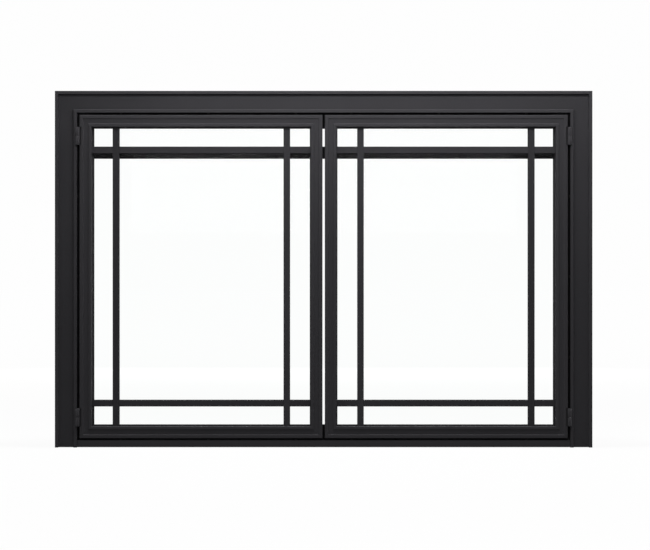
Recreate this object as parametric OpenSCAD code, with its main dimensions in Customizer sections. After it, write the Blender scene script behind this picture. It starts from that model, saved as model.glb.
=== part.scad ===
// Fireplace glass door: a surround with two side-hinged glass doors.
// +X right, +Z up, the front faces -Y. Y = 0 is the wall plane that the surround backs on,
// Z = 0 is the hearth, X = 0 is the line between the doors. Millimetres.

/* [Surround] */
// Overall width
surround_w = 1067; // [700:1:1500]
// Overall height
surround_h = 708; // [500:1:1000]
// Width of each side of the surround, seen from the front
face_w = 43.5; // [38:0.5:80]
// Depth from the wall to the front of the rim
surround_depth = 19; // [15:0.5:40]
// Width of the raised outer rim
rim_w = 6.3; // [5.5:0.1:12]
// Width of the raised inner lip
lip_w = 7; // [6.9:0.1:12]
// How far the flat face lies behind the rim
face_recess = 7; // [3:0.5:10]
// Sheet thickness of the surround and the sill
sheet = 2; // [1.5:0.1:2.4]
// Width of the return flange on the wall
return_w = 8; // [6:0.5:12]
// Small edge chamfer of the raised bands
rim_chamfer = 0.8; // [0.3:0.1:1.2]

/* [Sill] */
// Height of the sill bar
sill_h = 14; // [13:0.5:30]
// Thickness of the tabs at the sill's ends
sill_tab_t = 2.5; // [2:0.1:4]

/* [Stops and tie bar] */
// How far the head stop and the sill stop reach in from the edge of the opening
stop_w = 29.3; // [20:0.1:45]
// How far a jamb reaches in from the edge of the opening
jamb_w = 30.8; // [20:0.1:45]
// Thickness of the stops' legs, which are screwed to the surround
stop_t = 2.5; // [2:0.1:2.8]
// Thickness of the stops' flanges, which stand behind the doors
stop_flange_t = 3; // [2:0.1:5]
// Distance from the wall plane back to the front of the stops
stop_y = 10; // [9:0.5:20]
// How far the stop's leg reaches forward of the wall plane
stop_leg = 14; // [10:0.5:15]
// Height of the tie bar
tie_bar_h = 24.5; // [16:0.5:40]
// Thickness of the tie bar
tie_bar_t = 3; // [2:0.5:6]
// Distance from the top of the surround to the middle of the tie bar
tie_bar_drop = 120.5; // [90:0.1:400]
// Distance from the outer side of the stops to the end of the tie bar
tie_bar_in = 8; // [6:0.5:12]
// Distance between the two screws at each end of the tie bar
tie_screw_spacing = 12; // [10:0.5:14]

/* [Doors] */
// Gap between the two doors
meeting_gap = 4.5; // [2:0.1:8]
// Gap between a door and the side of the opening, which holds the hinge leaves
side_gap = 5.6; // [4.8:0.1:9]
// Gap above the doors
top_gap = 4.5; // [2:0.1:8]
// Gap below the doors
bottom_gap = 4.4; // [2:0.1:8]
// How far the doors stand in front of the rim
door_proud = 1; // [0:0.1:4]
// Width of the moulding on each side of a door
moulding_w = 23.4; // [22:0.1:40]
// Width of the glazing lip beyond the moulding
glazing_lip_w = 2; // [1:0.1:5]
// Depth of the hollow part of the door frame
box_depth = 20; // [16:0.5:26]
// Depth of the whole door frame, with the leg around the glass
door_depth = 28; // [26:0.5:36]
// Wall thickness of the door frame
door_wall = 2; // [1.4:0.1:2.4]
// Thickness of the leg around the glass
leg_t = 3; // [2:0.1:4]
// Width of the moulding's outer band
outer_band_w = 6.5; // [4:0.1:8]
// Width of the sunk band in the middle of the moulding
sunk_band_w = 8.1; // [5:0.1:10]
// Depth of the sunk band, which is also the width of its sloped steps
step = 1.7; // [0.8:0.1:2.5]
// Chamfer of the moulding's outer and inner edges
edge_chamfer = 1; // [0.4:0.1:1.5]

/* [Muntins] */
// Width of a muntin
muntin_w = 13; // [8:0.1:25]
// Thickness of a muntin
muntin_t = 10; // [4:0.5:12]
// Distance from a door's side to the middle of its upright muntin
upright_muntin_in = 71.1; // [50:0.1:140]
// Distance from a door's top or bottom to the middle of its level muntin
level_muntin_in = 68.9; // [50:0.1:140]
// Small front chamfer of the muntins
muntin_chamfer = 0.6; // [0.3:0.1:1.5]

/* [Glass] */
// Thickness of the glass
glass_t = 4.8; // [3:0.1:5]
// How far the glass lies behind the door's lip, on all sides
glass_bearing = 9.4; // [6:0.1:9.6]
// Thickness of the gasket under the glass
gasket_t = 1.5; // [1:0.1:2]
// How far the gasket stays back from the edges of the glass and of the lip
gasket_edge = 1; // [0.5:0.1:2]
// Width of a glass clip along the door frame
clip_w = 20; // [12:1:40]
// Sheet thickness of a glass clip
clip_t = 1.2; // [0.8:0.1:1.5]
// How far a clip reaches over the glass
clip_reach = 7; // [4:0.5:9]
// Space between a clip's foot and the leg around the glass
clip_foot_gap = 0.5; // [0.2:0.1:1]
// How far a clip screw reaches into the hollow of the door frame
clip_screw_past = 3; // [1:0.5:5]
// Free length of the door frame between a catch and the next clip
clip_from_catch = 10; // [2:0.5:30]

/* [Hinges] */
// Radius of a hinge knuckle
knuckle_r = 4; // [3.5:0.1:4.6]
// Radius of a hinge pin
pin_r = 2; // [1.5:0.1:2.2]
// Height of a hinge
hinge_h = 35; // [25:0.5:60]
// Distance of a hinge from the top or bottom of the door
hinge_in = 24; // [15:0.5:80]
// Thickness of a hinge leaf
leaf_t = 1.6; // [1.2:0.1:2]
// Width of a hinge leaf, from the knuckle's centre back
leaf_w = 18; // [16:0.5:18.5]
// Least space between a pin and the frame leaf beside it
leaf_from_pin = 1; // [0.5:0.1:1.5]
// Half the distance between the two screws of a leaf
leaf_screw_offset = 11; // [8:0.5:14]
// Width of the relief in the door beside a hinge
door_relief = 3.4; // [2:0.1:5]
// Space between a knuckle and the relief in the lip
lip_relief = 0.6; // [0.4:0.1:1.5]
// Depth of the relief in the door and in the lip
relief_depth = 6; // [5:0.1:6.5]
// How much taller a relief is than its hinge
relief_spare = 1; // [0.6:0.1:3]
// Space between a knuckle and the leaf that passes it
leaf_to_knuckle = 0.4; // [0.3:0.1:0.8]
// Distance from the back edge of a leaf to its screws
leaf_screw_in = 6; // [4.5:0.1:7]
// Length of the hinge screws
leaf_screw_l = 8; // [6:0.5:12]

/* [Fasteners and fittings] */
// Shank radius of the countersunk screws
csk_r = 1.7; // [1.2:0.1:2]
// Head radius of the countersunk screws
csk_head_r = 3.1; // [2.5:0.1:3.4]
// Head depth of the countersunk screws
csk_head_h = 1.4; // [1:0.1:1.5]
// Shank radius of the round-headed screws behind the stops
pan_r = 2.4; // [1.5:0.1:3]
// Head radius of the round-headed screws
pan_head_r = 4.4; // [3.5:0.1:5]
// Head height of the round-headed screws
pan_head_h = 2.6; // [1.5:0.1:4]
// Shank radius of the small clip and catch screws
small_r = 1.5; // [1:0.1:2]
// Head radius of the small screws
small_head_r = 2.9; // [2.2:0.1:3]
// Head height of the small screws
small_head_h = 1.8; // [1:0.1:2]
// Length of the screws through the surround's lip
frame_screw_l = 7; // [5:0.5:10]
// Distance from the wall plane forward to the screws through the lip
frame_screw_in = 4; // [3.5:0.1:6]
// Length of the round-headed screws
rear_screw_l = 6; // [5:0.5:7]
// Length of a corner key's arms, from the door's corner
key_arm = 60; // [50:1:90]
// Length of a magnetic catch
catch_w = 40; // [30:1:60]
// Height of a magnetic catch
catch_h = 9; // [6:0.5:10]
// Thickness of the two pole plates of a catch
pole_t = 1.5; // [1:0.1:2]
// How far the pole plates stand out of their case
pole_proud = 1; // [0.5:0.1:2]
// How far the pole plates end short of the ends of their case
pole_in = 3; // [1:0.5:6]
// Length of the catch screws
catch_screw_l = 8; // [6:0.5:9]
// Thickness of a strike plate
strike_t = 2; // [1:0.1:3]
// Space between a strike plate and the glass or the leg beside it
strike_edge = 1; // [0.5:0.1:2]
// Air gap between a magnet and its strike plate
catch_gap = 0.4; // [0.3:0.1:1]
// Free length of the door frame between a corner key and the catch
catch_from_key = 6; // [2:0.5:30]
// Arm length of the corner brackets
bracket_arm = 95; // [70:1:140]
// Arm width of the corner brackets
bracket_w = 20; // [14:0.5:22]
// Thickness of the corner, anchor and lintel brackets
bracket_t = 2.5; // [2:0.1:4]
// Radius of the welded studs
stud_r = 2.5; // [2:0.1:3]
// Length of the welded studs
stud_length = 9; // [7:0.5:10]
// Height of a nut
nut_h = 4; // [3:0.5:5]
// Radius of a nut, to its corners
nut_r = 4.6; // [4:0.1:6]
// Reach of the anchor brackets behind the stops
anchor_reach = 45; // [30:1:90]
// Height of an anchor bracket
anchor_h = 90; // [70:1:150]
// Height of the middle of an anchor bracket above the hearth
anchor_z = 330; // [100:1:500]
// How far an anchor bracket stays back from the inner edge of the stops
anchor_edge = 2; // [0:0.5:6]
// How far a lintel bracket stays above the lower edge of the head stop
lintel_edge = 4; // [0:0.5:8]
// Distance between the two slots of an anchor or lintel bracket
slot_spacing = 50; // [40:1:90]
// Half the width of a slot
slot_r = 3.25; // [2.5:0.05:4]
// Overall length of a slot
slot_l = 16; // [10:0.5:24]
// Distance from the middle of the front to a lintel bracket
lintel_x = 260; // [150:1:400]

/* [Clearances] */
// Clearance between fitted parts that don't move
fit = 0.1; // [0.05:0.01:0.2]
// Radial clearance of a pin in the knuckle that turns
running = 0.05; // [0.03:0.01:0.1]
// Radial clearance of a pin in the knuckle that holds it
pressed = 0.02; // [0.01:0.01:0.03]
// Gap between the two knuckles of a hinge
knuckle_gap = 0.4; // [0.3:0.1:1]

/* [Hidden] */

big = 4000;
cut_over = 1;
round_fn = 48;
barrel_fn = 64;

// shares of a length, at which screws and slots sit
head_screw_shares = [0.12, 0.5, 0.88];
jamb_screw_shares = [0.25, 0.5, 0.75];
anchor_screw_share = 0.34;
anchor_slot_share = 0.62;
catch_screw_share = 0.3;

// shares of a round head's radius
head_top_share = 0.8;
socket_share = 0.42;

// the opening
open_x = surround_w / 2 - face_w;
open_top = surround_h - face_w;
lip_back_x = open_x + sheet;
face_y = face_recess - surround_depth;
face_back = face_y + sheet;

// the sill and the tabs at its ends, which stay below the stop's leg
sill_leg_z = sill_h - sheet - stop_t;
sill_tab_h = sill_leg_z - fit;
sill_screw_z = (sheet + sill_tab_h) / 2;
sill_screw_y = face_back / 2;

// the right-hand door; the left-hand one is its mirror image
door_front = -surround_depth - door_proud;
door_x0 = meeting_gap / 2;
door_x1 = open_x - side_gap;
door_w = door_x1 - door_x0;
door_cx = (door_x0 + door_x1) / 2;
door_z0 = sill_h + bottom_gap;
door_z1 = open_top - top_gap;
door_h = door_z1 - door_z0;
door_cz = (door_z0 + door_z1) / 2;

// the door frame's section, counted in from its outer edge
shelf_y = door_front + box_depth;
door_back = door_front + door_depth;
lip_in = moulding_w + glazing_lip_w;
hollow_in = moulding_w - door_wall;
hollow_y0 = door_front + step + door_wall;
hollow_y1 = shelf_y - door_wall;

// the muntins rest on the glazing lip
muntin_y1 = shelf_y - door_wall;
muntin_y0 = muntin_y1 - muntin_t;

upright_l = door_h - 2 * moulding_w;
level_l = door_w - 2 * moulding_w;
lap_y = (muntin_y0 + muntin_y1) / 2;
upright_xs = [door_x1 - upright_muntin_in, door_x0 + upright_muntin_in];
level_zs = [door_z1 - level_muntin_in, door_z0 + level_muntin_in];

// the glass and what holds it, counted in from the door's edge
glass_in = lip_in - glass_bearing;
glass_y0 = shelf_y + gasket_t;
glass_y1 = glass_y0 + glass_t;
gasket_in0 = glass_in + gasket_edge;
gasket_in1 = lip_in - gasket_edge;
shelf_mid = (leg_t + glass_in - clip_t) / 2;
clip_foot_in = leg_t + clip_foot_gap;
clip_screw_l = clip_t + door_wall + clip_screw_past;
clip_along = key_arm + catch_from_key + catch_w + clip_from_catch + clip_w / 2;

// the hinges, on the front edge of the side gap
hinge_x = door_x1 + knuckle_r;
hinge_y = door_front;
hinge_tops = [door_z1 - hinge_in, door_z0 + hinge_in + hinge_h];
relief_h = hinge_h + relief_spare;
knuckle_h = (hinge_h - knuckle_gap) / 2;
leaf_pass_y = hinge_y + knuckle_r + leaf_to_knuckle;
leaf_back_y = hinge_y + leaf_w;
leaf_screw_y = leaf_back_y - leaf_screw_in;

// the stops
stop_in_x = open_x - jamb_w;
stop_top = open_top - stop_w;
stop_sill = sill_h + stop_w;
stop_out_x = lip_back_x + stop_t;
stop_back_y = stop_y + stop_flange_t;
head_leg_z = open_top + sheet + stop_t;

// screws through the lip, clear of the hinges
frame_screw_y = -frame_screw_in;
head_screw_xs = [for (share = head_screw_shares) share * stop_in_x];
jamb_screw_zs = [for (share = jamb_screw_shares) door_z0 + share * door_h];

// the tie bar and the screws that enter the stops from behind
tie_bar_z = surround_h - tie_bar_drop;
tie_bar_x = stop_out_x - tie_bar_in;
tie_screw_mid = (stop_in_x + tie_bar_x) / 2;
tie_screw_xs = [for (side = [-1, 1]) tie_screw_mid + side * tie_screw_spacing / 2];
rear_screw_x = (stop_in_x + open_x) / 2;
bracket_screw_offset = anchor_screw_share * anchor_h;
lintel_screw_z = (stop_top + open_top) / 2;
anchor_slot_y = stop_back_y + anchor_slot_share * anchor_reach;

// the studs of the corner brackets, in the middle of the flat face
stud_in = (rim_w + face_w - lip_w) / 2;
stud_steps = [stud_in + bracket_w / 2, bracket_arm - stud_in / 2];

// the catches, in the rebate of each door's top rail
catch_x = door_x0 + key_arm + catch_from_key + catch_w / 2;
catch_z = door_z1 - (leg_t + glass_in) / 2;
catch_y0 = shelf_y + strike_t + catch_gap;
catch_screw_offset = catch_screw_share * catch_w;
strike_half_h = (glass_in - leg_t) / 2 - strike_edge;

paint = [0.13, 0.13, 0.135];
zinc = [0.72, 0.72, 0.70];
dark_steel = [0.35, 0.35, 0.36];
clear_glass = [0.75, 0.85, 0.85, 0.35];
fibre = [0.30, 0.29, 0.27];
plastic = [0.20, 0.20, 0.20];

// The left half is the mirror image of the right half
module left_side() {
    mirror([1, 0, 0]) children();
}

module both_sides() {
    children();
    left_side() children();
}

// A bar along X of the given length, its outer edge on Z = 0. The section lies in Y and -Z.
module plain_bar(length) {
    translate([-length / 2, 0, 0])
        rotate([90, 0, 90])
            linear_extrude(height = length)
                children();
}

// All that lies beyond a 45 degree mitre at the +X end of a bar
module beyond_mitre(length) {
    translate([length / 2, 0, 0])
        rotate([0, 135, 0])
            translate([-big / 2, -big / 2, 0])
                cube([big, big, big / 4]);
}

module mitred_bar(length, right_mitre = true) {
    difference() {
        plain_bar(length) children();
        if (right_mitre)
            beyond_mitre(length);
        mirror([1, 0, 0]) beyond_mitre(length);
    }
}

// Four ways to place a bar: its outer edge faces up, down, to +X or to -X
module edge_up(x, z) {
    translate([x, 0, z]) children();
}

module edge_down(x, z) {
    translate([x, 0, z]) rotate([0, 180, 0]) children();
}

module edge_right(x, z) {
    translate([x, 0, z]) rotate([0, 90, 0]) children();
}

module edge_left(x, z) {
    translate([x, 0, z]) rotate([0, -90, 0]) children();
}

// A box between two corners
module block(low, high) {
    translate(low) cube(high - low);
}

// Screws and holes start at X = 0 and point along +X. These turn them to another way.
module point_forward() {
    rotate([0, 0, -90]) children();
}

module point_up() {
    rotate([0, -90, 0]) children();
}

module point_down() {
    rotate([0, 90, 0]) children();
}

module point_left() {
    rotate([0, 0, 180]) children();
}

// A countersunk screw. spare widens it into its own hole.
module csk_screw(length, spare = 0) {
    rotate([0, 90, 0]) {
        cylinder(h = csk_head_h, r1 = csk_head_r + spare, r2 = csk_r + spare, $fn = round_fn);
        cylinder(h = length, r = csk_r + spare, $fn = round_fn);
    }
}

// A round-headed screw with a hexagon socket. The head stands behind X = 0.
module pan_screw(length, r, head_r, head_h) {
    rotate([0, 90, 0]) {
        cylinder(h = length, r = r, $fn = round_fn);
        rotate([180, 0, 0])
            difference() {
                cylinder(h = head_h, r1 = head_r, r2 = head_top_share * head_r, $fn = round_fn);
                translate([0, 0, head_h / 2])
                    cylinder(h = head_h, r = socket_share * head_r, $fn = 6);
            }
    }
}

module hole(length, r, spare = fit) {
    translate([-cut_over, 0, 0])
        rotate([0, 90, 0])
            cylinder(h = length + 2 * cut_over, r = r + spare, $fn = round_fn);
}

module upright_hole(length, r) {
    translate([0, -cut_over, 0])
        rotate([-90, 0, 0])
            cylinder(h = length + 2 * cut_over, r = r, $fn = round_fn);
}

// ---- places of the screws ----

module head_screw_places() {
    for (x = head_screw_xs)
        translate([x, frame_screw_y, open_top]) point_up() children();
}

module sill_top_screw_places() {
    for (x = head_screw_xs)
        translate([x, frame_screw_y, sill_h]) point_down() children();
}

module jamb_screw_places() {
    for (z = jamb_screw_zs)
        translate([open_x, frame_screw_y, z]) children();
}

module sill_end_screw_place() {
    translate([open_x - sill_tab_t, sill_screw_y, sill_screw_z]) children();
}

module tie_bar_screw_places() {
    for (x = tie_screw_xs)
        translate([x, stop_back_y + tie_bar_t, tie_bar_z]) point_forward() children();
}

module anchor_screw_places() {
    for (side = [-1, 1])
        translate([rear_screw_x, stop_back_y + bracket_t, anchor_z + side * bracket_screw_offset])
            point_forward() children();
}

module lintel_screw_places() {
    for (side = [-1, 1])
        translate([lintel_x + side * bracket_screw_offset, stop_back_y + bracket_t, lintel_screw_z])
            point_forward() children();
}

module catch_screw_places() {
    for (side = [-1, 1])
        translate([catch_x + side * catch_screw_offset, stop_back_y, catch_z])
            point_forward() children();
}

module strike_screw_places() {
    for (side = [-1, 1])
        translate([catch_x + side * catch_screw_offset, shelf_y + strike_t, door_z1 - shelf_mid])
            point_forward() children();
}

module leaf_screw_pair(x, top) {
    for (side = [-1, 1])
        translate([x, leaf_screw_y, top - hinge_h / 2 + side * leaf_screw_offset]) children();
}

module frame_leaf_screw_places() {
    for (top = hinge_tops)
        leaf_screw_pair(open_x - leaf_t, top) children();
}

module door_leaf_screw_places() {
    for (top = hinge_tops)
        leaf_screw_pair(door_x1 + leaf_t, top) point_left() children();
}

// Where the studs stand, on the back of the face beside a top corner
module stud_places() {
    for (along = stud_steps) {
        translate([surround_w / 2 - along, face_back, surround_h - stud_in]) children();
        translate([surround_w / 2 - stud_in, face_back, surround_h - along]) children();
    }
}

// ---- surround ----

module surround_section() {
    c = rim_chamfer;
    front = -surround_depth;
    lip0 = face_w - lip_w;
    polygon([
        [0, 0],
        [front + c, 0],
        [front, -c],
        [front, c - rim_w],
        [front + c, -rim_w],
        [face_y, -rim_w],
        [face_y, -lip0],
        [front + c, -lip0],
        [front, -lip0 - c],
        [front, c - face_w],
        [front + c, -face_w],
        [0, -face_w],
        [0, sheet - face_w],
        [front + sheet, sheet - face_w],
        [front + sheet, -lip0 - sheet],
        [face_back, -lip0 - sheet],
        [face_back, sheet - rim_w],
        [front + sheet, sheet - rim_w],
        [front + sheet, -sheet],
        [-sheet, -sheet],
        [-sheet, -return_w],
        [0, -return_w]
    ]);
}

module stud() {
    rotate([-90, 0, 0])
        cylinder(h = stud_length, r = stud_r, $fn = round_fn);
}

module surround_top_rail() {
    color(paint)
        difference() {
            union() {
                edge_up(0, surround_h)
                    mitred_bar(surround_w) surround_section();
                both_sides()
                    for (along = stud_steps)
                        translate([surround_w / 2 - along, face_back, surround_h - stud_in]) stud();
            }
            both_sides() head_screw_places() csk_screw(frame_screw_l, fit);
        }
}

module surround_stile() {
    color(paint)
        difference() {
            union() {
                edge_right(surround_w / 2, surround_h / 2)
                    mitred_bar(surround_h, right_mitre = false) surround_section();
                for (along = stud_steps)
                    translate([surround_w / 2 - stud_in, face_back, surround_h - along]) stud();
            }
            hinge_relief(open_x - cut_over, hinge_x + knuckle_r + lip_relief);
            frame_leaf_screw_places() hole(leaf_screw_l, csk_r);
            jamb_screw_places() csk_screw(frame_screw_l, fit);
            sill_end_screw_place() hole(frame_screw_l, csk_r);
        }
}

// The space cut away around the barrels, between two X values
module hinge_relief(x0, x1) {
    for (top = hinge_tops)
        block([x0, hinge_y - knuckle_r, top - hinge_h / 2 - relief_h / 2],
              [x1, hinge_y + relief_depth, top - hinge_h / 2 + relief_h / 2]);
}

// ---- sill ----

module sill() {
    color(paint)
        difference() {
            union() {
                block([-open_x, face_y, 0], [open_x, face_back, sill_h]);
                block([-open_x, face_y, 0], [open_x, stop_y, sheet]);
                block([-open_x, face_y, sill_h - sheet], [open_x, 0, sill_h]);
                both_sides()
                    block([open_x - sill_tab_t, face_y, 0], [open_x, -cut_over, sill_tab_h]);
            }
            both_sides() sill_end_screw_place() csk_screw(frame_screw_l, fit);
            both_sides() sill_top_screw_places() csk_screw(frame_screw_l, fit);
        }
}

// ---- stops: angles whose flange stands behind the doors and whose leg laps the lip ----

module head_stop() {
    color(paint)
        difference() {
            union() {
                block([-stop_in_x, stop_y, stop_top], [stop_in_x, stop_back_y, head_leg_z]);
                block([-stop_in_x, -stop_leg, open_top + sheet], [stop_in_x, stop_back_y, head_leg_z]);
            }
            both_sides() head_screw_places() hole(frame_screw_l, csk_r);
            both_sides() catch_screw_places() hole(catch_screw_l, small_r);
            both_sides() lintel_screw_places() hole(rear_screw_l, pan_r);
        }
}

module jamb() {
    color(paint)
        difference() {
            union() {
                block([stop_in_x, stop_y, 0], [stop_out_x, stop_back_y, head_leg_z]);
                block([lip_back_x, -stop_leg, 0], [stop_out_x, stop_back_y, head_leg_z]);
            }
            frame_leaf_screw_places() hole(leaf_screw_l, csk_r);
            jamb_screw_places() hole(frame_screw_l, csk_r);
            sill_end_screw_place() hole(frame_screw_l, csk_r);
            tie_bar_screw_places() hole(rear_screw_l, pan_r);
            anchor_screw_places() hole(rear_screw_l, pan_r);
        }
}

module sill_stop() {
    color(paint)
        difference() {
            union() {
                block([-stop_in_x, stop_y, 0], [stop_in_x, stop_back_y, stop_sill]);
                block([-stop_in_x, face_back + fit, sill_leg_z], [stop_in_x, stop_back_y, sill_h - sheet]);
            }
            both_sides() sill_top_screw_places() hole(frame_screw_l, csk_r);
        }
}

module tie_bar() {
    color(paint)
        difference() {
            block([-tie_bar_x, stop_back_y, tie_bar_z - tie_bar_h / 2],
                  [tie_bar_x, stop_back_y + tie_bar_t, tie_bar_z + tie_bar_h / 2]);
            both_sides() tie_bar_screw_places() hole(rear_screw_l, pan_r);
        }
}

// ---- fixings of the surround's corners ----

module corner_bracket() {
    x1 = surround_w / 2 - stud_in + bracket_w / 2;
    z1 = surround_h - stud_in + bracket_w / 2;
    back = face_back + bracket_t;
    difference() {
        union() {
            block([surround_w / 2 - bracket_arm, face_back, z1 - bracket_w], [x1, back, z1]);
            block([x1 - bracket_w, face_back, surround_h - bracket_arm], [x1, back, z1]);
        }
        stud_places() upright_hole(bracket_t, stud_r + fit);
    }
}

module corner_brackets() {
    color(zinc) both_sides() corner_bracket();
}

module nut() {
    difference() {
        rotate([-90, 0, 0])
            cylinder(h = nut_h, r = nut_r, $fn = 6);
        upright_hole(nut_h, stud_r + running);
    }
}

module corner_nuts() {
    color(zinc)
        both_sides()
            stud_places()
                translate([0, bracket_t, 0])
                    nut();
}

// ---- screws of the surround and its stops ----

module frame_screws() {
    color(zinc)
        both_sides() {
            jamb_screw_places() csk_screw(frame_screw_l);
            sill_end_screw_place() csk_screw(frame_screw_l);
            head_screw_places() csk_screw(frame_screw_l);
            sill_top_screw_places() csk_screw(frame_screw_l);
        }
}

module rear_screws() {
    color(zinc)
        both_sides() {
            tie_bar_screw_places() pan_screw(rear_screw_l, pan_r, pan_head_r, pan_head_h);
            anchor_screw_places() pan_screw(rear_screw_l, pan_r, pan_head_r, pan_head_h);
            lintel_screw_places() pan_screw(rear_screw_l, pan_r, pan_head_r, pan_head_h);
        }
}

// ---- brackets that fasten the unit to the firebox ----

// A slot along Z through a plate that lies across X
module slot() {
    straight = slot_l - 2 * slot_r;
    for (side = [-1, 1])
        translate([0, 0, side * straight / 2])
            hole(bracket_t, slot_r, 0);
    block([-cut_over, -slot_r, -straight / 2], [bracket_t + cut_over, slot_r, straight / 2]);
}

module anchor_bracket() {
    z0 = anchor_z - anchor_h / 2;
    z1 = anchor_z + anchor_h / 2;
    plate_x = stop_out_x - bracket_t;
    color(paint)
        difference() {
            union() {
                block([stop_in_x + anchor_edge, stop_back_y, z0],
                      [stop_out_x, stop_back_y + bracket_t, z1]);
                block([plate_x, stop_back_y, z0], [stop_out_x, stop_back_y + anchor_reach, z1]);
            }
            anchor_screw_places() hole(rear_screw_l, pan_r);
            for (side = [-1, 1])
                translate([plate_x, anchor_slot_y, anchor_z + side * slot_spacing / 2]) slot();
        }
}

module lintel_bracket() {
    x0 = lintel_x - anchor_h / 2;
    x1 = lintel_x + anchor_h / 2;
    plate_z = head_leg_z - bracket_t;
    difference() {
        union() {
            block([x0, stop_back_y, stop_top + lintel_edge],
                  [x1, stop_back_y + bracket_t, head_leg_z]);
            block([x0, stop_back_y, plate_z], [x1, stop_back_y + anchor_reach, head_leg_z]);
        }
        lintel_screw_places() hole(rear_screw_l, pan_r);
        for (side = [-1, 1])
            translate([lintel_x + side * slot_spacing / 2, anchor_slot_y, plate_z]) point_up() slot();
    }
}

module lintel_brackets() {
    color(paint) both_sides() lintel_bracket();
}

// ---- hinges ----

module pin_bore(z0, r) {
    translate([hinge_x, hinge_y, z0 - cut_over])
        cylinder(h = hinge_h + 2 * cut_over, r = r, $fn = barrel_fn);
}

module knuckle(z0) {
    translate([hinge_x, hinge_y, z0])
        cylinder(h = knuckle_h, r = knuckle_r, $fn = barrel_fn);
}

// The lower knuckle holds the pin. Its leaf lies on the side of the opening.
module frame_leaf(top) {
    z0 = top - hinge_h;
    x0 = open_x - leaf_t;
    color(paint)
        difference() {
            union() {
                knuckle(z0);
                block([x0, hinge_y + pin_r + leaf_from_pin, z0],
                      [open_x, leaf_back_y, z0 + knuckle_h]);
                block([x0, leaf_pass_y, z0], [open_x, leaf_back_y, top]);
            }
            pin_bore(z0, pin_r + pressed);
            leaf_screw_pair(x0, top) csk_screw(leaf_screw_l, fit);
        }
}

// The upper knuckle turns on the pin. Its leaf lies on the side of the door.
module door_leaf(top) {
    z0 = top - hinge_h;
    x1 = door_x1 + leaf_t;
    color(paint)
        difference() {
            union() {
                knuckle(top - knuckle_h);
                block([door_x1, hinge_y, top - knuckle_h], [x1, leaf_back_y, top]);
                block([door_x1, leaf_pass_y, z0], [x1, leaf_back_y, top]);
            }
            pin_bore(z0, pin_r + running);
            leaf_screw_pair(x1, top) point_left() csk_screw(leaf_screw_l, fit);
        }
}

module hinge_pins() {
    color(dark_steel)
        both_sides()
            for (top = hinge_tops)
                translate([hinge_x, hinge_y, top - hinge_h])
                    cylinder(h = hinge_h, r = pin_r, $fn = barrel_fn);
}

module frame_leaf_screws() {
    color(zinc) both_sides() frame_leaf_screw_places() csk_screw(leaf_screw_l);
}

module door_leaf_screws() {
    color(zinc) door_leaf_screw_places() csk_screw(leaf_screw_l);
}

// ---- door frame: the right-hand door ----

module door_section() {
    front = door_front;
    e = edge_chamfer;
    sunk0 = outer_band_w + step;
    sunk1 = sunk0 + sunk_band_w;
    difference() {
        polygon([
            [front + e, 0],
            [front, -e],
            [front, -outer_band_w],
            [front + step, -sunk0],
            [front + step, -sunk1],
            [front, -sunk1 - step],
            [front, e - moulding_w],
            [front + e, -moulding_w],
            [muntin_y1, -moulding_w],
            [muntin_y1, -lip_in],
            [shelf_y, -lip_in],
            [shelf_y, -leg_t],
            [door_back, -leg_t],
            [door_back, 0]
        ]);
        polygon([
            [hollow_y0, -door_wall],
            [hollow_y0, -hollow_in],
            [hollow_y1, -hollow_in],
            [hollow_y1, -door_wall]
        ]);
    }
}

module door_top_rail() {
    color(paint)
        difference() {
            edge_up(door_cx, door_z1) mitred_bar(door_w) door_section();
            top_clip_places() clip_screw_hole();
            strike_screw_places() hole(clip_screw_l, small_r);
        }
}

module door_bottom_rail() {
    color(paint)
        difference() {
            edge_down(door_cx, door_z0) mitred_bar(door_w) door_section();
            bottom_clip_places() clip_screw_hole();
        }
}

module door_hinge_stile() {
    color(paint)
        difference() {
            edge_right(door_x1, door_cz) mitred_bar(door_h) door_section();
            hinge_relief(door_x1 - door_relief, door_x1 + cut_over);
            door_leaf_screw_places() hole(leaf_screw_l, csk_r);
            hinge_clip_places() clip_screw_hole();
        }
}

module door_meeting_stile() {
    color(paint)
        difference() {
            edge_left(door_x0, door_cz) mitred_bar(door_h) door_section();
            meeting_clip_places() clip_screw_hole();
        }
}

// An L of two arms that fills the hollow at one corner. sx and sz point out to the corner.
module corner_key(x, z, sx, sz) {
    in0 = door_wall + fit;
    in1 = hollow_in - fit;
    y0 = hollow_y0 + fit;
    y1 = hollow_y1 - fit;
    translate([x, 0, z])
        mirror([sx < 0 ? 1 : 0, 0, 0])
            mirror([0, 0, sz < 0 ? 1 : 0]) {
                block([-key_arm, y0, -in1], [-in0, y1, -in0]);
                block([-in1, y0, -key_arm], [-in0, y1, -in0]);
            }
}

module corner_keys() {
    color(dark_steel)
        difference() {
            union() {
                corner_key(door_x1, door_z1, 1, 1);
                corner_key(door_x1, door_z0, 1, -1);
                corner_key(door_x0, door_z1, -1, 1);
                corner_key(door_x0, door_z0, -1, -1);
            }
            door_leaf_screw_places() hole(leaf_screw_l, csk_r);
            hinge_relief(door_x1 - door_relief - fit, door_x1);
        }
}

// ---- glass ----

module glass() {
    color(clear_glass)
        block([door_x0 + glass_in, glass_y0, door_z0 + glass_in],
              [door_x1 - glass_in, glass_y1, door_z1 - glass_in]);
}

module gasket() {
    color(fibre)
        difference() {
            block([door_x0 + gasket_in0, shelf_y, door_z0 + gasket_in0],
                  [door_x1 - gasket_in0, glass_y0, door_z1 - gasket_in0]);
            block([door_x0 + gasket_in1, shelf_y - cut_over, door_z0 + gasket_in1],
                  [door_x1 - gasket_in1, glass_y0 + cut_over, door_z1 - gasket_in1]);
        }
}

// Places of the clips on the four bars of the frame, near both ends of each
module top_clip_places() {
    for (x = [door_x0 + clip_along, door_x1 - clip_along])
        edge_up(x, door_z1) children();
}

module bottom_clip_places() {
    for (x = [door_x0 + clip_along, door_x1 - clip_along])
        edge_down(x, door_z0) children();
}

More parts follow.
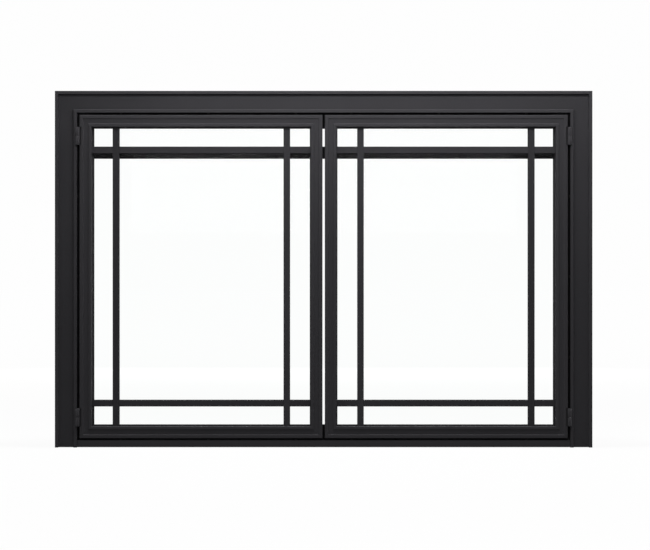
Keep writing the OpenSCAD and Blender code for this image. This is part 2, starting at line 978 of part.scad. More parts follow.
module hinge_clip_places() {
    for (z = [door_z0 + clip_along, door_z1 - clip_along])
        edge_right(door_x1, z) children();
}

module meeting_clip_places() {
    for (z = [door_z0 + clip_along, door_z1 - clip_along])
        edge_left(door_x0, z) children();
}

module clip_places() {
    top_clip_places() children();
    bottom_clip_places() children();
    hinge_clip_places() children();
    meeting_clip_places() children();
}

module clip_screw_hole() {
    translate([0, shelf_y, -shelf_mid]) point_forward() hole(door_wall, small_r);
}

// A Z of sheet: a foot on the shelf, a wall beside the glass and an arm over it
module glass_clip() {
    half = clip_w / 2;
    over_y = glass_y1 + clip_t;
    wall_z = fit - glass_in;
    difference() {
        union() {
            block([-half, shelf_y, wall_z], [half, shelf_y + clip_t, -clip_foot_in]);
            block([-half, shelf_y, wall_z], [half, over_y, wall_z + clip_t]);
            block([-half, glass_y1, -glass_in - clip_reach], [half, over_y, wall_z + clip_t]);
        }
        translate([0, shelf_y + clip_t, -shelf_mid]) point_forward() hole(clip_t, small_r);
    }
}

module glass_clips() {
    color(zinc) clip_places() glass_clip();
}

// The screws of the clips and the two rivets of the strike plate
module clip_screws() {
    color(zinc) {
        clip_places()
            translate([0, shelf_y + clip_t, -shelf_mid])
                point_forward()
                    pan_screw(clip_screw_l, small_r, small_head_r, small_head_h);
        strike_screw_places()
            point_down()
                cylinder(h = clip_screw_l, r = small_r, $fn = round_fn);
    }
}

// ---- muntins ----

module muntin_section() {
    c = muntin_chamfer;
    polygon([
        [muntin_y0 + c, 0],
        [muntin_y0, -c],
        [muntin_y0, c - muntin_w],
        [muntin_y0 + c, -muntin_w],
        [muntin_y1, -muntin_w],
        [muntin_y1, 0]
    ]);
}

// At each crossing the front half belongs to the upright and the back half to the level one
module upright_muntin(x) {
    half = muntin_w / 2 + fit;
    color(paint)
        difference() {
            edge_right(x + muntin_w / 2, door_cz) plain_bar(upright_l) muntin_section();
            for (z = level_zs)
                block([x - muntin_w, lap_y - fit / 2, z - half],
                      [x + muntin_w, muntin_y1 + cut_over, z + half]);
        }
}

module level_muntin(z) {
    half = muntin_w / 2 + fit;
    color(paint)
        difference() {
            edge_up(door_cx, z + muntin_w / 2) plain_bar(level_l) muntin_section();
            for (x = upright_xs)
                block([x - half, muntin_y0 - cut_over, z - muntin_w],
                      [x + half, lap_y + fit / 2, z + muntin_w]);
        }
}

// ---- catches ----

module magnetic_catch() {
    x0 = catch_x - catch_w / 2;
    x1 = catch_x + catch_w / 2;
    half = catch_h / 2;
    color(plastic)
        difference() {
            union() {
                block([x0, catch_y0 + pole_proud, catch_z - half], [x1, stop_y, catch_z + half]);
                for (z = [catch_z - half / 2, catch_z + half / 2])
                    block([x0 + pole_in, catch_y0, z - pole_t / 2],
                          [x1 - pole_in, stop_y, z + pole_t / 2]);
            }
            catch_screw_places() hole(catch_screw_l, small_r);
        }
}

module catch_screws() {
    color(zinc)
        both_sides()
            catch_screw_places() pan_screw(catch_screw_l, small_r, small_head_r, small_head_h);
}

module strike_plate() {
    color(zinc)
        difference() {
            block([catch_x - catch_w / 2, shelf_y, catch_z - strike_half_h],
                  [catch_x + catch_w / 2, shelf_y + strike_t, catch_z + strike_half_h]);
            strike_screw_places() hole(strike_t, small_r);
        }
}

surround_top_rail();
left_side() surround_stile();  // surround_left_stile
surround_stile();  // surround_right_stile
sill();
head_stop();
left_side() jamb();  // left_jamb
jamb();  // right_jamb
sill_stop();
tie_bar();
corner_brackets();
corner_nuts();
frame_screws();
rear_screws();
left_side() anchor_bracket();  // left_anchor_bracket
anchor_bracket();  // right_anchor_bracket
lintel_brackets();
left_side() frame_leaf(hinge_tops[0]);  // left_upper_frame_leaf
left_side() frame_leaf(hinge_tops[1]);  // left_lower_frame_leaf
frame_leaf(hinge_tops[0]);  // right_upper_frame_leaf
frame_leaf(hinge_tops[1]);  // right_lower_frame_leaf
hinge_pins();
frame_leaf_screws();
left_side() magnetic_catch();  // left_magnetic_catch
magnetic_catch();  // right_magnetic_catch
catch_screws();
left_side() door_top_rail();  // left_door_top_rail
left_side() door_bottom_rail();  // left_door_bottom_rail
left_side() door_hinge_stile();  // left_door_hinge_stile
left_side() door_meeting_stile();  // left_door_meeting_stile
left_side() corner_keys();  // left_corner_keys
left_side() glass();  // left_glass
left_side() gasket();  // left_gasket
left_side() glass_clips();  // left_glass_clips
left_side() clip_screws();  // left_clip_screws
left_side() upright_muntin(upright_xs[0]);  // left_outer_muntin
left_side() upright_muntin(upright_xs[1]);  // left_inner_muntin
left_side() level_muntin(level_zs[0]);  // left_upper_muntin
left_side() level_muntin(level_zs[1]);  // left_lower_muntin
left_side() door_leaf(hinge_tops[0]);  // left_upper_door_leaf
left_side() door_leaf(hinge_tops[1]);  // left_lower_door_leaf
left_side() door_leaf_screws();  // left_door_leaf_screws
left_side() strike_plate();  // left_strike_plate
door_top_rail();  // right_door_top_rail
door_bottom_rail();  // right_door_bottom_rail
door_hinge_stile();  // right_door_hinge_stile
door_meeting_stile();  // right_door_meeting_stile
corner_keys();  // right_corner_keys
glass();  // right_glass
gasket();  // right_gasket
glass_clips();  // right_glass_clips
clip_screws();  // right_clip_screws
upright_muntin(upright_xs[0]);  // right_outer_muntin
upright_muntin(upright_xs[1]);  // right_inner_muntin
level_muntin(level_zs[0]);  // right_upper_muntin
level_muntin(level_zs[1]);  // right_lower_muntin
door_leaf(hinge_tops[0]);  // right_upper_door_leaf
door_leaf(hinge_tops[1]);  // right_lower_door_leaf
door_leaf_screws();  // right_door_leaf_screws
strike_plate();  // right_strike_plate
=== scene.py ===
# %% [markdown]
# # A fireplace front with two glass doors
# The real thing is a black steel surround that stands on the hearth and covers the edge of a
# firebox. Two framed glass doors swing out of it on small barrel hinges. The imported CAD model
# already has every solid at its true size and place, in metres, with the front facing -Y. This
# lesson builds the finished look around it: rolled edges, fasteners, glass, paint and light.

import math

import bmesh
import bpy
from mathutils import Matrix, Vector


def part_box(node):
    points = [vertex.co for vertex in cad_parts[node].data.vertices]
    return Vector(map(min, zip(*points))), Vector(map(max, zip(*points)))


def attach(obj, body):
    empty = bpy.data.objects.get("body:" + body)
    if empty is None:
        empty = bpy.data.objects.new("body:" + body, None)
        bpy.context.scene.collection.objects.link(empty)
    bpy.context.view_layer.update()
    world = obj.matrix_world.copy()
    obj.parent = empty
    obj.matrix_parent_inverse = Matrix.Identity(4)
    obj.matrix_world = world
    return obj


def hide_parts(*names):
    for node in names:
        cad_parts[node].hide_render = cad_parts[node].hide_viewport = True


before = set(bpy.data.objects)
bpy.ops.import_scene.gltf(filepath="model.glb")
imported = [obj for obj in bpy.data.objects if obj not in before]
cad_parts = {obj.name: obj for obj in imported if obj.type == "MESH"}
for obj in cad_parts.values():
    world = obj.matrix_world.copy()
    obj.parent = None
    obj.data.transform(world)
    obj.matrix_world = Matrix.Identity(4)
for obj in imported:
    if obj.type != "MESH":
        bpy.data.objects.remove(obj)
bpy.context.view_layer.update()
MM = 0.001

# %% [markdown]
# ## Camera
# The photograph is a straight-on product picture. Its perspective is known from how far the
# parts behind the doors shift towards the middle: the lens stood 3.2 m in front of the rim, level
# with the middle of the front. With a 36 mm sensor the focal length follows from the width that
# the picture covers, and the small lens shift from where the middle of the front falls in it.

# %% Camera
PHOTO_WIDTH_PX = 650
PHOTO_HEIGHT_PX = 550
METRES_PER_PX = 1.9847 * MM
CENTRE_X_PX = 323.64
CENTRE_Y_PX = 269.20
SENSOR = 36.0
CAMERA_DISTANCE = 3.2

front_low, front_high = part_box("surround_top_rail")
CAMERA_HEIGHT = 0.5 * front_high.z
covered = PHOTO_WIDTH_PX * METRES_PER_PX

camera_data = bpy.data.cameras.new("Camera")
camera_data.sensor_width = SENSOR
camera_data.lens = SENSOR * CAMERA_DISTANCE / covered
camera_data.shift_x = (PHOTO_WIDTH_PX / 2 - CENTRE_X_PX) / PHOTO_WIDTH_PX
camera_data.shift_y = (CENTRE_Y_PX - PHOTO_HEIGHT_PX / 2) / PHOTO_WIDTH_PX
camera = bpy.data.objects.new("Camera", camera_data)
camera.location = (0.0, front_low.y - CAMERA_DISTANCE, CAMERA_HEIGHT)
camera.rotation_euler = (math.radians(90), 0.0, 0.0)
bpy.context.scene.collection.objects.link(camera)
bpy.context.scene.camera = camera
bpy.context.scene.view_settings.view_transform = "Standard"
print("lens", round(camera_data.lens, 1), "mm, camera at", tuple(round(v, 3) for v in camera.location))

# %% [markdown]
# ## Node trees from Python
# A shader is a graph, and a long list of nodes.new and links.new lines hides what it computes.
# `Wire` wraps one output socket, so that sums can be written as sums: `1 - mask * 0.3` adds the
# Math nodes by itself. Its `node` method adds any other node from its type, its settings and its
# socket values. The same class serves the geometry trees further down.

# %% The socket class
class Wire:
    """An output socket of a node tree, or the bare tree as a place to start from."""

    def __init__(self, tree, socket=None):
        self.tree = tree
        self.socket = socket

    def node(self, kind, settings=None, sockets=None, output=0):
        new = self.tree.nodes.new(kind)
        for name, value in (settings or {}).items():
            setattr(new, name, value)
        for name, value in (sockets or {}).items():
            if isinstance(value, Wire):
                self.tree.links.new(value.socket, new.inputs[name])
            else:
                new.inputs[name].default_value = value
        return Wire(self.tree, new.outputs[output] if len(new.outputs) else None)

    def other(self, name):
        return Wire(self.tree, self.socket.node.outputs[name])

    def math(self, operation, *values):
        return self.node("ShaderNodeMath", {"operation": operation}, dict(enumerate(values)))

    def __add__(self, value):
        return self.math("ADD", self, value)

    def __sub__(self, value):
        return self.math("SUBTRACT", self, value)

    def __rsub__(self, value):
        return self.math("SUBTRACT", value, self)

    def __mul__(self, value):
        return self.math("MULTIPLY", self, value)

    def __truediv__(self, value):
        return self.math("DIVIDE", self, value)

    def __rtruediv__(self, value):
        return self.math("DIVIDE", value, self)

    def __neg__(self):
        return self.math("MULTIPLY", self, -1.0)

    __radd__ = __add__
    __rmul__ = __mul__


def mix_colour(pen, share, first, second):
    """The first colour where share is 0 and the second where it is 1."""
    sockets = {"Factor": share, 6: (*first, 1.0), 7: (*second, 1.0)}
    return pen.node("ShaderNodeMix", {"data_type": "RGBA"}, sockets, output=2)


print("Wire adds nodes for + - * / and takes numbers on either side")

# %% [markdown]
# ## Light and background
# The photograph has a pure white background and soft light from above the camera, a little to
# the right: the top of the surround is lighter than its legs, and every edge that faces up shows
# a fine light line. A white world would flood the black paint, so the world casts almost no light
# of its own. Only rays from the camera, from glossy surfaces and through glass see it as white.

# %% World
WHITE = 0.990
WORLD_LIGHT = 0.02


def sees_background(pen):
    """1 for camera, glossy and transmission rays, else 0."""
    camera_ray = pen.node("ShaderNodeLightPath", output="Is Camera Ray")
    glossy = camera_ray.other("Is Glossy Ray")
    through = camera_ray.other("Is Transmission Ray")
    return camera_ray.math("MAXIMUM", camera_ray.math("MAXIMUM", camera_ray, glossy), through)


world = bpy.data.worlds.new("Plain studio")
world.use_nodes = True
world.node_tree.nodes.clear()
pen = Wire(world.node_tree)
white_or_grey = mix_colour(pen, sees_background(pen), (WORLD_LIGHT,) * 3, (WHITE,) * 3)
background = pen.node("ShaderNodeBackground", sockets={"Color": white_or_grey})
pen.node("ShaderNodeOutputWorld", sockets={"Surface": background})
bpy.context.scene.world = world
print("world light", WORLD_LIGHT, "seen as", WHITE)

# %% [markdown]
# The floor is one large sheet that follows the same idea. To the camera it glows as white as the
# world, and a dark diffuse surface on top of the glow takes in the lamps, so that the object's
# shadow still shows. The lamps make the middle of the floor brighter than its far end, so the
# glow is a little weaker there, and no line shows where the floor ends.

# %% Floor
FLOOR_HALF = 20.0
FLOOR_DROP = 0.5 * MM
FLOOR_COLOUR = (0.15, 0.15, 0.15)
SHADOW_SHARE = 0.04
NEAR_GLOW = 0.905
LIT_RADIUS = 2.5
LIT_FALL = 3.0


def pale_floor():
    """A floor that shows white and keeps shadows, and that throws little light on the object."""
    material = bpy.data.materials.new("Pale floor")
    material.use_nodes = True
    material.node_tree.nodes.clear()
    pen = Wire(material.node_tree)
    plain = pen.node("ShaderNodeBsdfDiffuse", sockets={"Color": (*FLOOR_COLOUR, 1.0)})
    catcher = pen.node("ShaderNodeBsdfDiffuse", sockets={"Color": (SHADOW_SHARE,) * 3 + (1.0,)})
    place = pen.node("ShaderNodeTexCoord", output="Object")
    distance = pen.node("ShaderNodeVectorMath", {"operation": "LENGTH"}, {0: place}, output="Value")
    radii = distance / LIT_RADIUS
    lamp_lit = 1.0 / (1.0 + radii.math("POWER", radii, LIT_FALL))
    glow = pen.node("ShaderNodeEmission", sockets={
        "Color": mix_colour(pen, lamp_lit, (WHITE,) * 3, (NEAR_GLOW,) * 3), "Strength": 1.0,
    })
    seen = pen.node("ShaderNodeAddShader", sockets={0: catcher, 1: glow})
    chosen = pen.node("ShaderNodeMixShader", sockets={0: sees_background(pen), 1: plain, 2: seen})
    pen.node("ShaderNodeOutputMaterial", sockets={"Surface": chosen})
    return material


floor_mesh = bpy.data.meshes.new("Floor")
floor_corners = [
    (x * FLOOR_HALF, y * FLOOR_HALF, -FLOOR_DROP) for x, y in ((-1, -1), (1, -1), (1, 1), (-1, 1))
]
floor_mesh.from_pydata(floor_corners, [], [(0, 1, 2, 3)])
floor_mesh.materials.append(pale_floor())
floor = bpy.data.objects.new("Floor", floor_mesh)
bpy.context.scene.collection.objects.link(floor)
print("floor", 2 * FLOOR_HALF, "m square")

# %% [markdown]
# Eight softboxes light the front. Two high ones draw the light lines on the edges that face up,
# and they stand to the left and right, because a single one in the middle would throw a hard
# shadow beside the inner lip. A narrow strip just above the top rail makes it lighter than the
# legs. The front and far boxes fill the faces. The strips in the plane of the front and the box
# behind add nothing to the front view, and they keep the sides and the back from going black.

# %% Lamps
LOOK_AT = Vector((0.0, 0.0, CAMERA_HEIGHT))


def soft_lamp(name, place, size, watts, look_at=LOOK_AT):
    """A rectangular softbox that faces a point on the front."""
    data = bpy.data.lights.new(name, "AREA")
    data.shape = "RECTANGLE"
    data.size, data.size_y = size
    data.energy = watts
    lamp = bpy.data.objects.new(name, data)
    lamp.location = place
    lamp.rotation_euler = (look_at - Vector(place)).to_track_quat("-Z", "Y").to_euler()
    lamp.visible_camera = lamp.visible_transmission = False
    bpy.context.scene.collection.objects.link(lamp)
    print(name, watts, "W at", place)


TOP_RAIL_SPOT = Vector((0.10, 0.0, 0.68))
soft_lamp("Near strip", (0.10, -0.30, 0.88), (1.1, 0.10), 3.9, TOP_RAIL_SPOT)
soft_lamp("Front softbox", (0.10, -1.50, 1.20), (1.0, 0.4), 6.2)
soft_lamp("Far softbox", (0.00, -3.40, 0.90), (1.6, 0.8), 28.0)
for side_sign in (-1, 1):
    soft_lamp("Top softbox", (1.2 * side_sign, -0.30, 3.70), (0.8, 0.3), 128.0)
    soft_lamp("Side strip", (2.6 * side_sign, 0.0, 0.4), (0.10, 1.0), 45.0)
soft_lamp("Back softbox", (0.0, 2.6, 0.30), (1.8, 0.4), 25.0)

# %% [markdown]
# ## Paint, metal and glass
# A powder coat isn't one flat colour. The powder melts into a skin with a fine orange peel, and
# its gloss and shade drift a little over a hand's width. Noise textures on Object coordinates
# give both: every piece sits at the origin, so that the pattern runs on in true size from one
# rail to the next. Colour, roughness and a small bump change over the surface. Values that are
# the same all over, such as the specular level, stay on the shader's own sockets.

# %% Material helpers
def new_material(name):
    """An empty material, its pen and its object coordinates."""
    material = bpy.data.materials.new(name)
    material.use_nodes = True
    material.node_tree.nodes.clear()
    pen = Wire(material.node_tree)
    return material, pen, pen.node("ShaderNodeTexCoord", output="Object")


def noise(place, per_metre, detail):
    """A noise from 0 to 1 with this many lumps in a metre."""
    sockets = {"Vector": place, "Scale": per_metre, "Detail": detail}
    return place.node("ShaderNodeTexNoise", sockets=sockets)


def bump(height, depth):
    """A normal that rises and falls by depth, in metres, as height goes from 0 to 1."""
    return height.node("ShaderNodeBump", sockets={"Height": height, "Distance": depth})


def finish_material(pen, sockets):
    """A Principled shader with these sockets, and the output."""
    shader = pen.node("ShaderNodeBsdfPrincipled", sockets=sockets)
    pen.node("ShaderNodeOutputMaterial", sockets={"Surface": shader})


FINISHES = {}
print("a material gets its pattern from object coordinates")

# %% Black powder coat
COAT_DARK = Vector((0.0260, 0.0254, 0.0278))
COAT_LIGHT = Vector((0.0330, 0.0322, 0.0350))


def black_powder_coat(name, shade=1.0):
    """Satin black, with a slow drift in colour and an orange peel. Shade scales its colours, as painted light
    or shade.
    """
    material, pen, place = new_material(name)
    drift = noise(place, per_metre=7.0, detail=3.0)
    peel = noise(place, per_metre=650.0, detail=1.0)
    grain = noise(place, per_metre=2600.0, detail=2.0)
    finish_material(pen, {
        "Base Color": mix_colour(pen, drift * 0.8 + grain * 0.2, COAT_DARK * shade, COAT_LIGHT * shade),
        "Roughness": 0.58 + drift * 0.08 + grain * 0.08,
        "Specular IOR Level": 0.005,
        "Normal": bump(peel * 0.6 + grain * 0.4, depth=0.012 * MM),
    })
    return material


FINISHES["black_powder_coat"] = black_powder_coat("Black powder coat")
print("black powder coat from", [round(v, 4) for v in COAT_DARK], "to", [round(v, 4) for v in COAT_LIGHT])

# %% [markdown]
# In some parts, light or shade is painted into the colour of the coat. The sill is painted lighter, as
# painted light for the light that the doors above it keep off. The tie bar, the stops behind the doors and
# the outer and lower muntins are painted darker, as painted shade. Each of those gets a coat of its own, with
# the same grain and its colours scaled by the share below.

# %% Coats with painted light and shade
PAINTED_LIGHT_SHARES = {
    # Painted light: the sill's coat is lighter, for the light that the doors above it keep off.
    "sill": 1.44,
    # Painted shade: the tie bar and the stops behind the doors are darker, for the shade that falls there.
    "tie_bar": 0.65,
    "head_stop": 0.55,
    "left_jamb": 0.55,
    "right_jamb": 0.55,
    "sill_stop": 0.55,
    # Painted shade: the outer and lower muntins are darker, for the shade that falls on them.
    "left_outer_muntin": 0.85,
    "right_outer_muntin": 0.85,
    "left_lower_muntin": 0.88,
    "right_lower_muntin": 0.88,
}
PAINTED_LIGHT_COATS = {
    node: black_powder_coat(f"Black powder coat of {node}", shade) for node, shade in PAINTED_LIGHT_SHARES.items()
}
print(len(PAINTED_LIGHT_COATS), "parts have painted light or shade in their coat")

# %% [markdown]
# Zinc plate is a thin dull metal on pressed steel. It shows a faint blue and yellow drift and
# fine rolling lines. Black oxide screws, turned pins and the cast keys use the same recipe with
# other colours, so that one function makes all four.

# %% Bare and plated metals
LINE_STRETCH = 0.08


def metal(name, dark, light, rough, lines_per_metre):
    """A metal with a drifting colour and fine lines that run along Z."""
    material, pen, place = new_material(name)
    drift = noise(place, per_metre=55.0, detail=3.0)
    scale = (lines_per_metre, lines_per_metre, lines_per_metre * LINE_STRETCH)
    stretched = place.node("ShaderNodeMapping", sockets={"Vector": place, "Scale": scale})
    lines = noise(stretched, per_metre=1.0, detail=2.0)
    specks = noise(place, per_metre=1800.0, detail=1.0)
    finish_material(pen, {
        "Base Color": mix_colour(pen, drift, dark, light),
        "Metallic": 1.0,
        "Roughness": rough - 0.08 + drift * 0.10 + lines * 0.08,
        "Normal": bump(lines * 0.5 + specks * 0.5, depth=0.01 * MM),
    })
    return material


METALS = {
    "zinc_plate": ("Dull zinc plate", (0.19, 0.19, 0.185), (0.25, 0.25, 0.26), 0.46, 500.0),
    "blackened_screw": ("Black oxide steel", (0.030, 0.030, 0.032), (0.055, 0.053, 0.052), 0.45, 700.0),
    "steel_pin": ("Turned dark steel", (0.10, 0.10, 0.105), (0.17, 0.17, 0.175), 0.36, 900.0),
    "cast_key": ("Blackened casting", (0.018, 0.018, 0.018), (0.030, 0.030, 0.029), 0.58, 180.0),
}
for slot, recipe in METALS.items():
    FINISHES[slot] = metal(*recipe)
print("metals:", ", ".join(METALS))

# %% [markdown]
# The panes are clear tempered glass. It isn't quite flat, so its reflections waver a little. In
# Cycles a glass shader stops the light of lamps, which would leave everything behind the panes
# in the dark. So shadow rays and diffuse rays meet a Transparent shader instead.

# %% Clear glass
def clear_glass():
    """Glass to the camera and to reflections, clear to the light of lamps."""
    material, pen, place = new_material("Clear tempered glass")
    ripple = noise(place, per_metre=14.0, detail=1.0)
    glass = pen.node("ShaderNodeBsdfPrincipled", sockets={
        "Base Color": (0.985, 0.995, 0.99, 1.0),
        "Roughness": 0.0,
        "IOR": 1.5,
        "Transmission Weight": 1.0,
        "Specular Tint": (0.05, 0.05, 0.05, 1.0),
        "Normal": bump(ripple, depth=0.005 * MM),
    })
    clear = pen.node("ShaderNodeBsdfTransparent", sockets={"Color": (0.95, 0.97, 0.96, 1.0)})
    shadow = pen.node("ShaderNodeLightPath", output="Is Shadow Ray")
    lets_light_in = shadow.math("MAXIMUM", shadow, shadow.other("Is Diffuse Ray"))
    mixed = pen.node("ShaderNodeMixShader", sockets={0: lets_light_in, 1: glass, 2: clear})
    pen.node("ShaderNodeOutputMaterial", sockets={"Surface": mixed})
    return material


FINISHES["clear_glass"] = clear_glass()
print("glass passes shadow and diffuse rays")

# %% [markdown]
# The gasket is a charcoal tape of woven glass fibre. Its yarns run in two diagonal directions and
# pass over and under each other. Two Wave textures, turned by 45 degrees either way, give the
# yarns, and the higher of the two at each point is the one on top.

# %% Woven gasket tape
YARN_SCALE = 260.0


def woven_tape():
    """Charcoal fibre tape with two sets of diagonal yarns."""
    material, pen, place = new_material("Woven fibre tape")
    yarns = []
    for turn in (45, -45):
        rotation = (0.0, math.radians(turn), 0.0)
        diagonal = place.node("ShaderNodeMapping", sockets={"Vector": place, "Rotation": rotation})
        yarns.append(place.node("ShaderNodeTexWave", {"bands_direction": "X"}, {
            "Vector": diagonal, "Scale": YARN_SCALE,
        }, output="Fac"))
    weave = yarns[0].math("MAXIMUM", *yarns)
    fuzz = noise(place, per_metre=1500.0, detail=3.0)
    finish_material(pen, {
        "Base Color": mix_colour(pen, weave * 0.7 + fuzz * 0.3, (0.045, 0.043, 0.040), (0.16, 0.152, 0.142)),
        "Roughness": 0.82 + fuzz * 0.12,
        "Specular IOR Level": 0.25,
        "Normal": bump(weave * 0.8 + fuzz * 0.2, depth=0.12 * MM),
    })
    return material


FINISHES["fibre_gasket"] = woven_tape()
print("yarns at 45 degrees either way")

# %% [markdown]
# The case of a magnetic catch is moulded from a black plastic that stands heat. The mould's
# surface is etched, which leaves fine pebbles, and a Voronoi texture has that cell pattern.

# %% Moulded case
PEBBLES_PER_METRE = 1400.0


def moulded_case():
    """Black moulding with a pebbled surface."""
    material, pen, place = new_material("Heat-proof black moulding")
    pebble = pen.node("ShaderNodeTexVoronoi", sockets={"Vector": place, "Scale": PEBBLES_PER_METRE})
    drift = noise(place, per_metre=60.0, detail=2.0)
    finish_material(pen, {
        "Base Color": mix_colour(pen, drift, (0.018, 0.018, 0.019), (0.030, 0.030, 0.031)),
        "Roughness": 0.52 + drift * 0.12,
        "Normal": bump(pebble, depth=0.03 * MM),
    })
    return material


FINISHES["catch_case"] = moulded_case()
print("finishes:", ", ".join(FINISHES))

# %% [markdown]
# ## Making a piece
# Every finished piece goes through the same last steps. Its doubles are merged, its faces are
# turned outwards, and its narrow round faces are shaded smooth while its flat faces stay flat.
# Smoothing a whole rail would bend the light on its wide flat faces, because their normals would
# lean towards the rounded edges.

# %% Cleaning a mesh
NARROW = 3.0 * MM
SOFT_ANGLE = (math.radians(0.5), math.radians(36))
MERGE = 0.002 * MM


def clean(mesh):
    """Merges doubles, turns the faces outwards and smooths the narrow round ones."""
    work = bmesh.new()
    work.from_mesh(mesh)
    bmesh.ops.remove_doubles(work, verts=work.verts, dist=MERGE)
    bmesh.ops.recalc_face_normals(work, faces=work.faces)
    for face in work.faces:
        longest = max(edge.calc_length() for edge in face.edges)
        bends = [edge.calc_face_angle(0.0) for edge in face.edges]
        is_round = any(SOFT_ANGLE[0] < bend < SOFT_ANGLE[1] for bend in bends)
        face.smooth = is_round and face.calc_area() < NARROW * longest
    work.to_mesh(mesh)
    work.free()
    return mesh


print("faces narrower than", NARROW, "m may be shaded smooth")

# %% [markdown]
# A modifier is only a recipe, and a piece has to be a plain mesh before it is tied to a body. So
# the evaluated mesh takes the place of the old one, and the modifiers go.

# %% Objects and modifiers
def new_object(name, mesh):
    """An object at the origin, in the scene."""
    piece = bpy.data.objects.new(name, mesh)
    bpy.context.scene.collection.objects.link(piece)
    return piece


def bake_modifiers(piece):
    """Turns what the piece's modifiers make of it into its plain mesh."""
    bpy.context.view_layer.update()
    graph = bpy.context.evaluated_depsgraph_get()
    mesh = bpy.data.meshes.new_from_object(piece.evaluated_get(graph))
    piece.modifiers.clear()
    piece.data = mesh
    return piece


def discard(*pieces):
    """Removes helpers that have done their work."""
    for piece in pieces:
        bpy.data.objects.remove(piece)


def boolean(piece, other, operation):
    """Adds an exact Boolean modifier."""
    step = piece.modifiers.new(operation.title(), "BOOLEAN")
    step.operation = operation
    step.solver = "EXACT"
    step.object = other


def cut(piece, *cutters):
    """Takes the cutters' shapes away from the piece and discards the cutters."""
    for cutter in cutters:
        boolean(piece, cutter, "DIFFERENCE")
    bake_modifiers(piece)
    discard(*cutters)
    return piece


print("cutters are taken away with exact Booleans")

# %% [markdown]
# Last, a piece gets its finish and the body that it rides on, and the CAD nodes that it stands for are
# hidden. A node in the table of painted light and shade gets its own coat from there.

# %% Mounting a piece
def mount(piece, body, finish, *nodes):
    """The last steps: a clean mesh, its finish, its body and the CAD nodes that it stands for."""
    clean(piece.data)
    # A node in the table gets its coat with painted light or shade.
    painted_light_coat = PAINTED_LIGHT_COATS.get(nodes[0]) if nodes else None
    piece.data.materials.clear()
    piece.data.materials.append(painted_light_coat or FINISHES[finish])
    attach(piece, body)
    if nodes:
        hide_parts(*nodes)
    return piece


# %% [markdown]
# ## Bars with one section
# The surround, the door frames, the stops, the sill and the muntins are all bars: one section,
# drawn once, that runs along a straight line and ends square or in a mitre. A rule like that is
# made for Geometry Nodes. The section comes in as a closed outline whose points carry the radius
# of their own corner. The tree rounds the corners, sweeps the outline, turns it to lie along X
# and slides the end rings inwards to cut the mitres.

# %% Making and running trees
def new_tree(name, inputs):
    """A geometry tree with named inputs, its pen, and its input wires by name."""
    tree = bpy.data.node_groups.new(name, "GeometryNodeTree")
    tree.is_modifier = True
    tree.interface.new_socket("Geometry", in_out="INPUT", socket_type="NodeSocketGeometry")
    tree.interface.new_socket("Geometry", in_out="OUTPUT", socket_type="NodeSocketGeometry")
    for label, kind in inputs.items():
        tree.interface.new_socket(label, in_out="INPUT", socket_type="NodeSocket" + kind)
    start = Wire(tree).node("NodeGroupInput", output="Geometry")
    return tree, start, {label: start.other(label) for label in inputs}


def end_tree(shape, material):
    """Realize Instances, Set Material, and out."""
    real = shape.node("GeometryNodeRealizeInstances", sockets={"Geometry": shape})
    painted = shape.node("GeometryNodeSetMaterial", sockets={"Geometry": real, "Material": material})
    shape.node("NodeGroupOutput", sockets={"Geometry": painted})


def run_tree(tree, piece, values):
    """Runs a tree on the piece with these input values, and keeps the plain mesh."""
    step = piece.modifiers.new(tree.name, "NODES")
    step.node_group = tree
    for item in tree.interface.items_tree:
        if item.in_out == "INPUT" and item.name in values:
            step[item.identifier] = values[item.name]
    return bake_modifiers(piece)


print("trees end in Realize Instances and Set Material")


# %% The bar tree
def bar_tree():
    """Sweeps an outline with its own corner radii into a bar with mitred or square ends."""
    inputs = {"Length": "Float", "Left mitre": "Float", "Right mitre": "Float",
              "Corner steps": "Int", "Material": "Material"}
    tree, start, given = new_tree("Bar with one section", inputs)
    outline = start.node("GeometryNodeMeshToCurve", sockets={"Mesh": start})
    corner = start.node("GeometryNodeInputNamedAttribute", {"data_type": "FLOAT"}, {"Name": "corner_radius"})
    rounded = start.node("GeometryNodeFilletCurve", {"mode": "POLY"}, {
        "Curve": outline, "Radius": corner, "Limit Radius": True, "Count": given["Corner steps"],
    })
    half = given["Length"] * 0.5
    low = start.node("ShaderNodeCombineXYZ", sockets={"Z": -half})
    high = start.node("ShaderNodeCombineXYZ", sockets={"Z": half})
    path = start.node("GeometryNodeCurvePrimitiveLine", sockets={"Start": low, "End": high})
    swept = start.node("GeometryNodeCurveToMesh", sockets={
        "Curve": path, "Profile Curve": rounded, "Fill Caps": True,
    })
    place = start.node("GeometryNodeInputPosition")
    inward = start.node("ShaderNodeSeparateXYZ", sockets={0: place}, output="X")
    depth, along = inward.other("Y"), inward.other("Z")
    at_right = along.math("GREATER_THAN", along, 0.0)
    slide = (1 - at_right) * given["Left mitre"] - at_right * given["Right mitre"]
    lying = start.node("ShaderNodeCombineXYZ", sockets={
        "X": along + inward * slide, "Y": depth, "Z": -inward,
    })
    laid = start.node("GeometryNodeSetPosition", sockets={"Geometry": swept, "Position": lying})
    end_tree(laid, given["Material"])
    return tree


BAR = bar_tree()
print("bar tree:", len(BAR.nodes), "nodes")

# %% [markdown]
# A bar comes out of the tree along X, with its outer edge on Z = 0 and its section below. It is
# then turned so that this edge faces up, down, left or right. The two mitre numbers say how far
# each end slides inwards per metre of depth: 1 is a mitre of 45 degrees and 0 is a square end.

# %% Ways to lay a bar
CORNER_STEPS = 4
MITRED = (1.0, 1.0)
SQUARE = (0.0, 0.0)
OUTER_EDGE = {
    "up": Matrix.Identity(4),
    "down": Matrix.Rotation(math.pi, 4, "Y"),
    "right": Matrix.Rotation(math.pi / 2, 4, "Y"),
    "left": Matrix.Rotation(-math.pi / 2, 4, "Y"),
}


